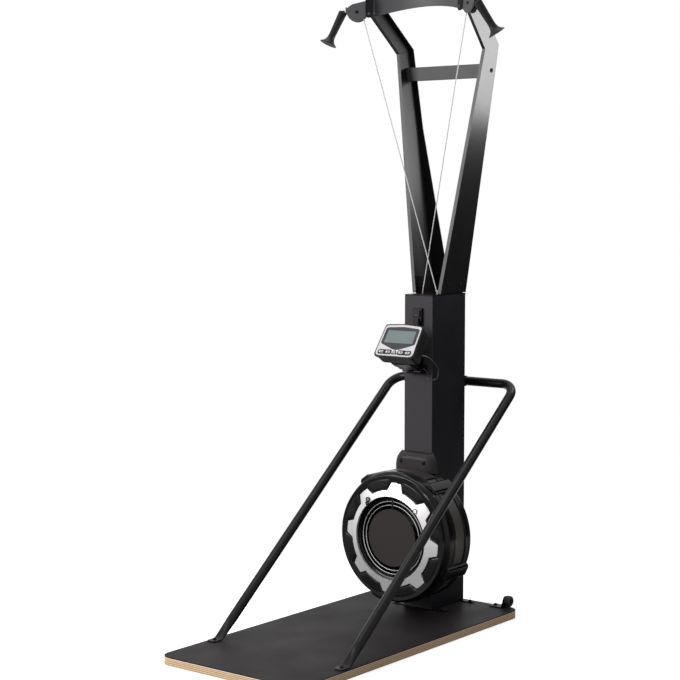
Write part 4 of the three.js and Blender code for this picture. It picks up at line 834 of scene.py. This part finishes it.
for side, mirror in SIDES:
    inward = on_ear(mirror, 0, 1, 0) - on_ear(mirror, 0, 0, 0)
    softened_piece(f"{side}_ear", f"{side}_ear_bracket", 0.8, HEAD_PAINT, "grey_paint", above=40)
    make_piece(f"{side}_cord_sheave",
               turned(SHEAVE_GROOVE, on_ear(mirror, 0, SHEAVE_DEPTH, 0), inward, 64), SHEAVE_NYLON,
               f"{side}_sheave_wheel", [f"{side}_sheave"])
    ear_plane = laid_on((mirror * cos(sweep), -sin(sweep), 0), UP,
                        (mirror * sin(sweep), cos(sweep), 0), on_ear(mirror, 0, 0, 0))
    # Painted shade: a black plate over the ear's inner part, where its grey sheet folds into shade
    make_piece(f"{side}_ear_fold_painted_shade", slab(fold_shade_outline, -4.4, -0.3, corner=3, edge=1.6, frame_at=ear_plane),
               BLACK_PAINT, "frame")
    make_piece(f"{side}_fold_bolt", dome_bolt(on_ear(mirror, -47, -4.4, -8), -inward, 3.6, 2.6, 5),
               HEAD_PAINT, "frame")
    seat = on_ear(mirror, 0, -0.3, 0)
    shank = turned([(0, 0), (4, 0), (4, 23.6), (0, 23.6)], seat, inward, 24, closed=False)
    nut = turned([(0, 0), (7, 0), (7, 3.2), (6.2, 4), (0, 4)], on_ear(mirror, 0, 23.3, 0), inward, 6,
                 closed=False)
    make_piece(f"{side}_sheave_axle",
               gathered([dome_bolt(seat, -inward, 4.4, 3.2, 5.8), shank, nut]), BLACK_PAINT, "frame",
               [f"{side}_sheave_bolt"])
    bush, stop = bush_and_stop(mirror)
    make_piece(f"{side}_bush", turned(mouth, bush, (stop - bush).normalized(), 40), BUSH_PLASTIC,
               "frame", [f"{side}_cord_bush"])

# Cords and handles: a white braided cord runs from each handle over its sheave, crosses to the
# other side of the mast's top and goes down to its drum. The handle is a moulded grip that
# flares to a wide lip and hangs on a ball at the cord's end.
CORD_BRAID = finish("white_braid", (0.60, 0.585, 0.57), 0.75, grain=(1600, 0.0004),
                    mottle=(300, 0.12))
HANDLE_PLASTIC = finish("handle_plastic", (0.0115, 0.011, 0.0122), 0.42, grain=(800, 0.00012),
                        mottle=(20, 0.15), specular=0.14)
PULL_WAY = Vector((0, -0.3, -0.95394))
hangs = {"right": Vector((0.437, 0.3096, -0.8445)), "left": Vector((-0.28668, -0.32747, -0.90032))}
grip_outline = [(0, 5.9), (3, 5.1), (5.4, 2.6), (6.4, 0.4), (8.2, -0.2), (12, 0), (14.2, 1.2),
                (15.2, 4), (15.2, 8), (14.8, 16), (14.2, 34), (13.4, 60), (12.7, 84), (12.6, 94),
                (13, 101), (14.2, 107), (16.4, 112.4), (19.6, 117.2), (23.6, 121.2), (27.6, 124.2),
                (30.4, 126), (31.4, 127), (31.6, 128), (31, 129), (29.8, 129.4), (27.6, 129),
                (22, 127.2), (14, 126), (6, 125.6), (0, 125.6)]
CORD_RADIUS, BALL_RADIUS = 2, 5.7
RIGHT_HANGS_IN = Vector((-6, 0, 0))


def ring_round(place, across, beside, radius, corners=12):
    """A ring of points in mm round a place, in the plane of two directions."""
    return [place + (across * cos(turn) + beside * sin(turn)) * radius
            for turn in [2 * pi * k / corners for k in range(corners)]]


for side, mirror in SIDES:
    bush, stop = bush_and_stop(mirror)
    out_way = (stop - bush).normalized()
    cut_at = (bush + out_way * 1.5) * MM
    cord = cad_copy(f"{side}_drive_cord")
    bmesh.ops.bisect_plane(cord, geom=cord.verts[:] + cord.edges[:] + cord.faces[:],
                           plane_co=cut_at, plane_no=out_way)
    beyond = [v for v in cord.verts if (v.co - cut_at).dot(out_way) > 0.01 * MM
              and (v.co - bush * MM).length < 30 * MM]
    bmesh.ops.delete(cord, geom=beyond, context="VERTS")
    bmesh.ops.holes_fill(cord, edges=[e for e in cord.edges if e.is_boundary], sides=0)
    make_piece(f"{side}_pull_cord", cord, CORD_BRAID, "frame", [f"{side}_drive_cord"],
               sharp=60)
    across = PULL_WAY.cross(Vector((0, 1, 0))).normalized()
    beside = PULL_WAY.cross(across).normalized()
    stub = lofted([ring_round(bush.lerp(stop, step / 6), across, beside, CORD_RADIUS)
                   for step in range(7)])
    bmesh.ops.recalc_face_normals(stub, faces=stub.faces)
    run = new_object(f"{side}_cord_run", stub, CORD_BRAID)
    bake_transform(run)
    ball = bmesh.new()
    bmesh.ops.create_uvsphere(ball, u_segments=24, v_segments=14, radius=BALL_RADIUS * MM,
                              matrix=Matrix.Translation(stop * MM))
    make_piece(f"{side}_stop_ball", ball, HANDLE_PLASTIC, f"{side}_pull",
               [f"{side}_cord_stop"], recalculate=False)
    hung_at = stop + RIGHT_HANGS_IN if side == "right" else stop
    make_piece(f"{side}_pull_handle", turned(grip_outline, hung_at, hangs[side], 72, closed=False),
               HANDLE_PLASTIC, f"{side}_grip", [f"{side}_handle"], sharp=50)

# Monitor: a moulded case with ribbed sides and a silver face round a dark glossy frame with a
# liquid crystal display. Five keys in dark pods lie under it. It tilts on a pin in a steel bracket.
CASE_PLASTIC = finish("case_plastic", (0.0105, 0.010, 0.0108), 0.42, grain=(900, 0.0001),
                      mottle=(15, 0.15), specular=0.16)
FACE_SILVER = finish("face_silver", (0.52, 0.51, 0.53), 0.34, grain=(1500, 0.00002),
                     mottle=(25, 0.04), metallic=0.2)
FRAME_GLOSS = finish("frame_gloss", (0.042, 0.040, 0.043), 0.2, grain=(600, 0.00001),
                     mottle=(8, 0.1), specular=0.3)
LCD_GLASS = finish("lcd_glass", (0.135, 0.178, 0.172), 0.16, grain=(600, 0.00001), mottle=(14, 0.1),
                   specular=0.4)
KEY_RUBBER = finish("key_rubber", (0.022, 0.021, 0.023), 0.45, grain=(900, 0.00008))
KEY_MARK = finish("key_mark", (0.55, 0.55, 0.56), 0.5, grain=(900, 0.00002))
tilt = radians(34.2)
FACE = laid_on(SIDEWAYS, (0, sin(tilt), cos(tilt)), (0, -cos(tilt), sin(tilt)), (0, 289.2, 1023.5))
ACROSS = laid_on(BACKWARD, UP, SIDEWAYS, (0, 0, 0))
FACE_ACROSS = FACE @ ACROSS


def rounded(points, reach):
    """An outline with each corner drawn as a smooth round."""
    steps, drawn = 6, []
    for i, corner in enumerate(points):
        corner = Vector(corner)
        back, ahead = Vector(points[i - 1]) - corner, Vector(points[(i + 1) % len(points)]) - corner
        first = corner + back.normalized() * min(reach, back.length * 0.45)
        last = corner + ahead.normalized() * min(reach, ahead.length * 0.45)
        for s in [step / steps for step in range(steps + 1)]:
            drawn.append(tuple(first * (1 - s) ** 2 + corner * 2 * s * (1 - s) + last * s ** 2))
    return drawn


def face_line(inset):
    """The face's outline: a crowned top, sides that widen downwards, cut lower corners."""
    top, bottom, low, high = 80.5 - inset, 84.8 - inset, inset - 68.5, 59 - inset
    corners = [(-bottom, low + 9), (9 - bottom, low), (bottom - 9, low), (bottom, low + 9),
               (top, high - 5), (top - 5, high), (0, high + 5), (5 - top, high), (-top, high - 5)]
    return rounded(corners, 11)


def case_rings():
    """The case's outline from its open front lip back to its rear, by depth and inset."""
    depths = ((-4.6, 4), (-1.8, 3.2), (-0.5, 1.6), (0, 0), (-0.2, -1.4), (-1.4, -2.6), (-4, -3),
              (-9, -2.6), (-12, 0), (-48, 0.4), (-52, 1.2), (-54.2, 3), (-55, 6))
    return [[FACE @ (Vector((u, v, out)) * MM) / MM for u, v in face_line(inset)]
            for out, inset in depths]


def case_rib(side, low):
    """A raised rib on the case's flank."""
    outline = [(low, -12), (low + 3, -12), (low + 3, -46), (low, -46)]
    start, end = (82, 83.6) if side > 0 else (-83.6, -82)
    shift = -low * 0.04 * side
    return slab(outline, start + shift, end + shift, edge=0.5, frame_at=FACE_ACROSS)


def pierced(outline, holes, low, high, edge):
    """A plate on the monitor's face from an outline in mm, with holes through it."""
    bm = bmesh.new()
    loops = []
    for points in (outline, *holes):
        ring = [bm.verts.new((a * MM, b * MM, low * MM)) for a, b in points]
        loops += [bm.edges.new((ring[i - 1], ring[i])) for i in range(len(ring))]
    bmesh.ops.triangle_fill(bm, use_beauty=True, use_dissolve=False, edges=loops)
    bmesh.ops.translate(bm, vec=(0, 0, (high - low) * MM), verts=raised_side(bm))
    bmesh.ops.recalc_face_normals(bm, faces=bm.faces)
    rims = [e for e in bm.edges if e.calc_face_angle(0) > radians(60)
            and all(abs(v.co.z - high * MM) < 0.001 * MM for v in e.verts)]
    round_off(bm, rims, edge, 2)
    bm.transform(FACE)
    return bm


def key_outline(across, grow):
    """A key's outline: ovals at the sides, a triangle in the middle, grown by a margin."""
    half_length, half_height, row, corners = 13.4 + grow, 8.2 + grow, -51, 40
    if across:
        return [(across + half_length * cos(turn), row + half_height * sin(turn))
                for turn in [2 * pi * k / corners for k in range(corners)]]
    half = 11.5 + 2 * grow
    return rounded([(-half, -58 - grow), (half, -58 - grow), (0, 1.6 * grow - 43)], 5)


def pod_outline(places, grow):
    """The dark surround of a pair of keys, or of the middle key alone."""
    if len(places) == 1:
        return key_outline(places[0], 1.5 + grow)
    start, end = places[0] - 15 - grow, places[1] + 15 + grow
    return rounded(oblong(start, -60.6 - grow, end, grow - 41.4), 9)


def key_marks(across):
    """Plain raised bars on an oval key, a bar and a triangle on the middle one."""
    if not across:
        return [oblong(-6, -56, 6, -53.6), [(-4.6, -51.6), (4.6, -51.6), (0, -46.4)]]
    return [oblong(across - 9, -55, across - 2, -47), oblong(across + 1, -55, across + 9, -52.2),
            oblong(across + 1, -49.8, across + 9, -47)]


lug_outline = rounded([(-6.7, -71), (-3, -80.4), (7.6, -80.4), (11.3, -71), (11.3, -53),
                       (-6.7, -53)], 5)
case_parts = [lofted(case_rings())]
case_parts += [case_rib(side, low) for side in (-1, 1) for low in range(-38, 33, 10)]
case_parts += [slab(lug_outline, x, x + 6, edge=0.8, frame_at=FACE_ACROSS) for x in (12.8, -18.8)]
make_piece("monitor_case", gathered(case_parts), CASE_PLASTIC, "monitor",
           ["monitor_housing"], sharp=40)
KEYS = (-58, -28, 0, 28, 58)
PODS = (("left", KEYS[:2]), ("middle", KEYS[2:3]), ("right", KEYS[3:]))
pod_holes = [pod_outline(places, 0.2) for word, places in PODS]
make_piece("monitor_face", pierced(face_line(2.2), pod_holes, -3, -0.1, 0.5), FACE_SILVER,
           "monitor", ["monitor_bezel"])
for word, places in PODS:
    key_holes = [key_outline(across, 0.3) for across in places]
    make_piece(f"{word}_key_pod", pierced(pod_outline(places, 0), key_holes, -3, 0.15, 0.3),
               CASE_PLASTIC, "monitor")
inner_line = rounded([(-75, -17), (-20, -37.5), (-8, -41), (8, -41), (20, -37.5), (75, -17),
                      (73.5, 44), (68, 48.5), (0, 53.5), (-68, 48.5), (-73.5, 44)], 8)
make_piece("monitor_inner_frame", slab(inner_line, -2, 0.15, edge=0.25, frame_at=FACE), FRAME_GLOSS,
           "monitor")
display = rounded([(-62, -13.5), (62, -13.5), (61, 37), (-61, 37)], 3)
make_piece("monitor_display", slab(display, -2, 0.35, edge=0.15, frame_at=FACE), LCD_GLASS,
           "monitor", ["monitor_screen"])
for number, across in enumerate(KEYS, 1):
    make_piece(f"key_{number}", slab(key_outline(across, 0), -3, 1.5, edge=0.9, frame_at=FACE),
               KEY_RUBBER, f"button_{number}", [f"monitor_button_{number}"])
    make_piece(f"key_{number}_mark",
               gathered([slab(mark, 1.4, 1.58, frame_at=FACE) for mark in key_marks(across)]),
               KEY_MARK, f"button_{number}")

# Monitor mount: a bent steel bracket holds the pivot pin, and a moulded clip with a grey tab is
# fixed to the mast. Below, a black cradle on the mast reaches under a ribbed pod on the case.
softened_piece("monitor_mount", "monitor_bracket", 0.8, above=40)
dress(STEEL, "monitor_pivot_pin")
WALL = laid_on(SIDEWAYS, UP, (0, -1, 0), (0, 403.3, 0))
make_piece("monitor_clip", gathered(
    [slab(oblong(-20, 1083, 20, 1129), 0, 7, corner=3, edge=1.2, frame_at=WALL),
     slab(oblong(-15, 1100, 15, 1124), 6, 13, corner=2, edge=1.2, frame_at=WALL),
     slab(oblong(-12, 1070, 12, 1096), 3, 16, corner=2, edge=1.5, frame_at=WALL)]),
           CASE_PLASTIC, "frame")


def upright_plates(outline, starts, width, edge):
    """Upright plates of one outline, each from its start across the machine."""
    return [slab(outline, x, x + width, edge=edge, frame_at=ACROSS) for x in starts]


cradle = [(377, 896), (359.5, 904.8), (360, 907.5), (370, 909.6), (380, 913), (390, 918.2)]
cradle_skin = [(403, 896), (377, 896), (359.5, 904.8), (361, 907.5), (378, 900.5), (403, 900.5)]
make_piece("monitor_cradle", gathered(
    upright_plates([(406.1, 896), *cradle, (406.1, 928)], (-40, 22.5), 17.5, 1)
    + upright_plates([(403, 896), *cradle, (403, 926.8)], (-22.4, 13), 9.4, 0.6)
    + upright_plates(cradle_skin, (-12.9,), 25.8, 0.4)), BLACK_PAINT, "frame")
pod = [(291, 939.4), (300, 933), (320.6, 922.4), (328.6, 921.6), (349, 910.6), (352, 913),
       (354, 930), (350, 950), (334, 962), (310, 960)]
pod_skin = [(300, 934), (320.6, 923.4), (328.6, 922.6), (349, 911.6), (350.5, 915.4), (330, 927),
            (321, 928), (303, 937.6)]
make_piece("monitor_rear_pod", gathered(
    upright_plates(pod, (-40, 22), 18, 1.2) + upright_plates(pod_skin, (-21.9,), 43.8, 0.6)),
           BLACK_PAINT, "monitor")
make_piece("monitor_clip_tab", slab(oblong(-4, 1103, 9, 1107), 12.6, 13.6, edge=0.3,
                                    frame_at=WALL), CROSSBAR_PAINT, "frame")

# Monitor leads: a thin black lead loops from the case to a rubber grommet in the mast's side,
# and a shorter sensor wire goes down beside it.
LEAD_RUBBER = finish("lead_rubber", (0.014, 0.0135, 0.014), 0.35, grain=(900, 0.00005),
                     specular=0.6)


def lead(points, radius):
    """A round lead through points in mm, drawn as a smooth curve."""
    steps = 10
    points = [Vector(p) for p in points]
    line = []
    for i in range(len(points) - 1):
        a, b = points[max(i - 1, 0)], points[i]
        c, d = points[i + 1], points[min(i + 2, len(points) - 1)]
        for s in [step / steps for step in range(steps)]:
            line.append(0.5 * (2 * b + (c - a) * s + (2 * a - 5 * b + 4 * c - d) * s ** 2
                               + (3 * b - a - 3 * c + d) * s ** 3))
    line.append(points[-1])
    rings = []
    beside = Vector(SIDEWAYS)
    for i, place in enumerate(line):
        tangent = (line[min(i + 1, len(line) - 1)] - line[max(i - 1, 0)]).normalized()
        beside = (beside - tangent * beside.dot(tangent)).normalized()
        rings.append(ring_round(place, beside, tangent.cross(beside), radius))
    return lofted(rings)


loop_route = [(50, 320.5, 972.5), (52, 333, 966), (59, 357, 964), (67, 380, 955), (71, 413, 930),
              (71, 430, 907), (69, 427, 882), (61.4, 416, 872.6)]
loop_shape = lead(loop_route, 2.2)
bmesh.ops.recalc_face_normals(loop_shape, faces=loop_shape.faces)
loop_piece = new_object("monitor_lead", loop_shape, LEAD_RUBBER)
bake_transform(loop_piece)
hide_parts("monitor_cable")
wire_route = [(38, 386, 914), (41.5, 389, 912), (45.5, 395, 903), (48, 401.5, 890), (47, 406, 880)]
make_piece("sensor_wire", lead(wire_route, 1.3), LEAD_RUBBER, "frame")
grommet = [(2.4, 0), (6, 0), (6, 1.4), (5, 2.6), (3, 2.6), (2.4, 1.6)]
make_piece("lead_grommets", gathered([turned(grommet, (61.3, 416, 872.6), SIDEWAYS, 32),
                                      turned(grommet, (47, 406.3, 880), (0, -1, 0), 32)]),
           LEAD_RUBBER, "frame")
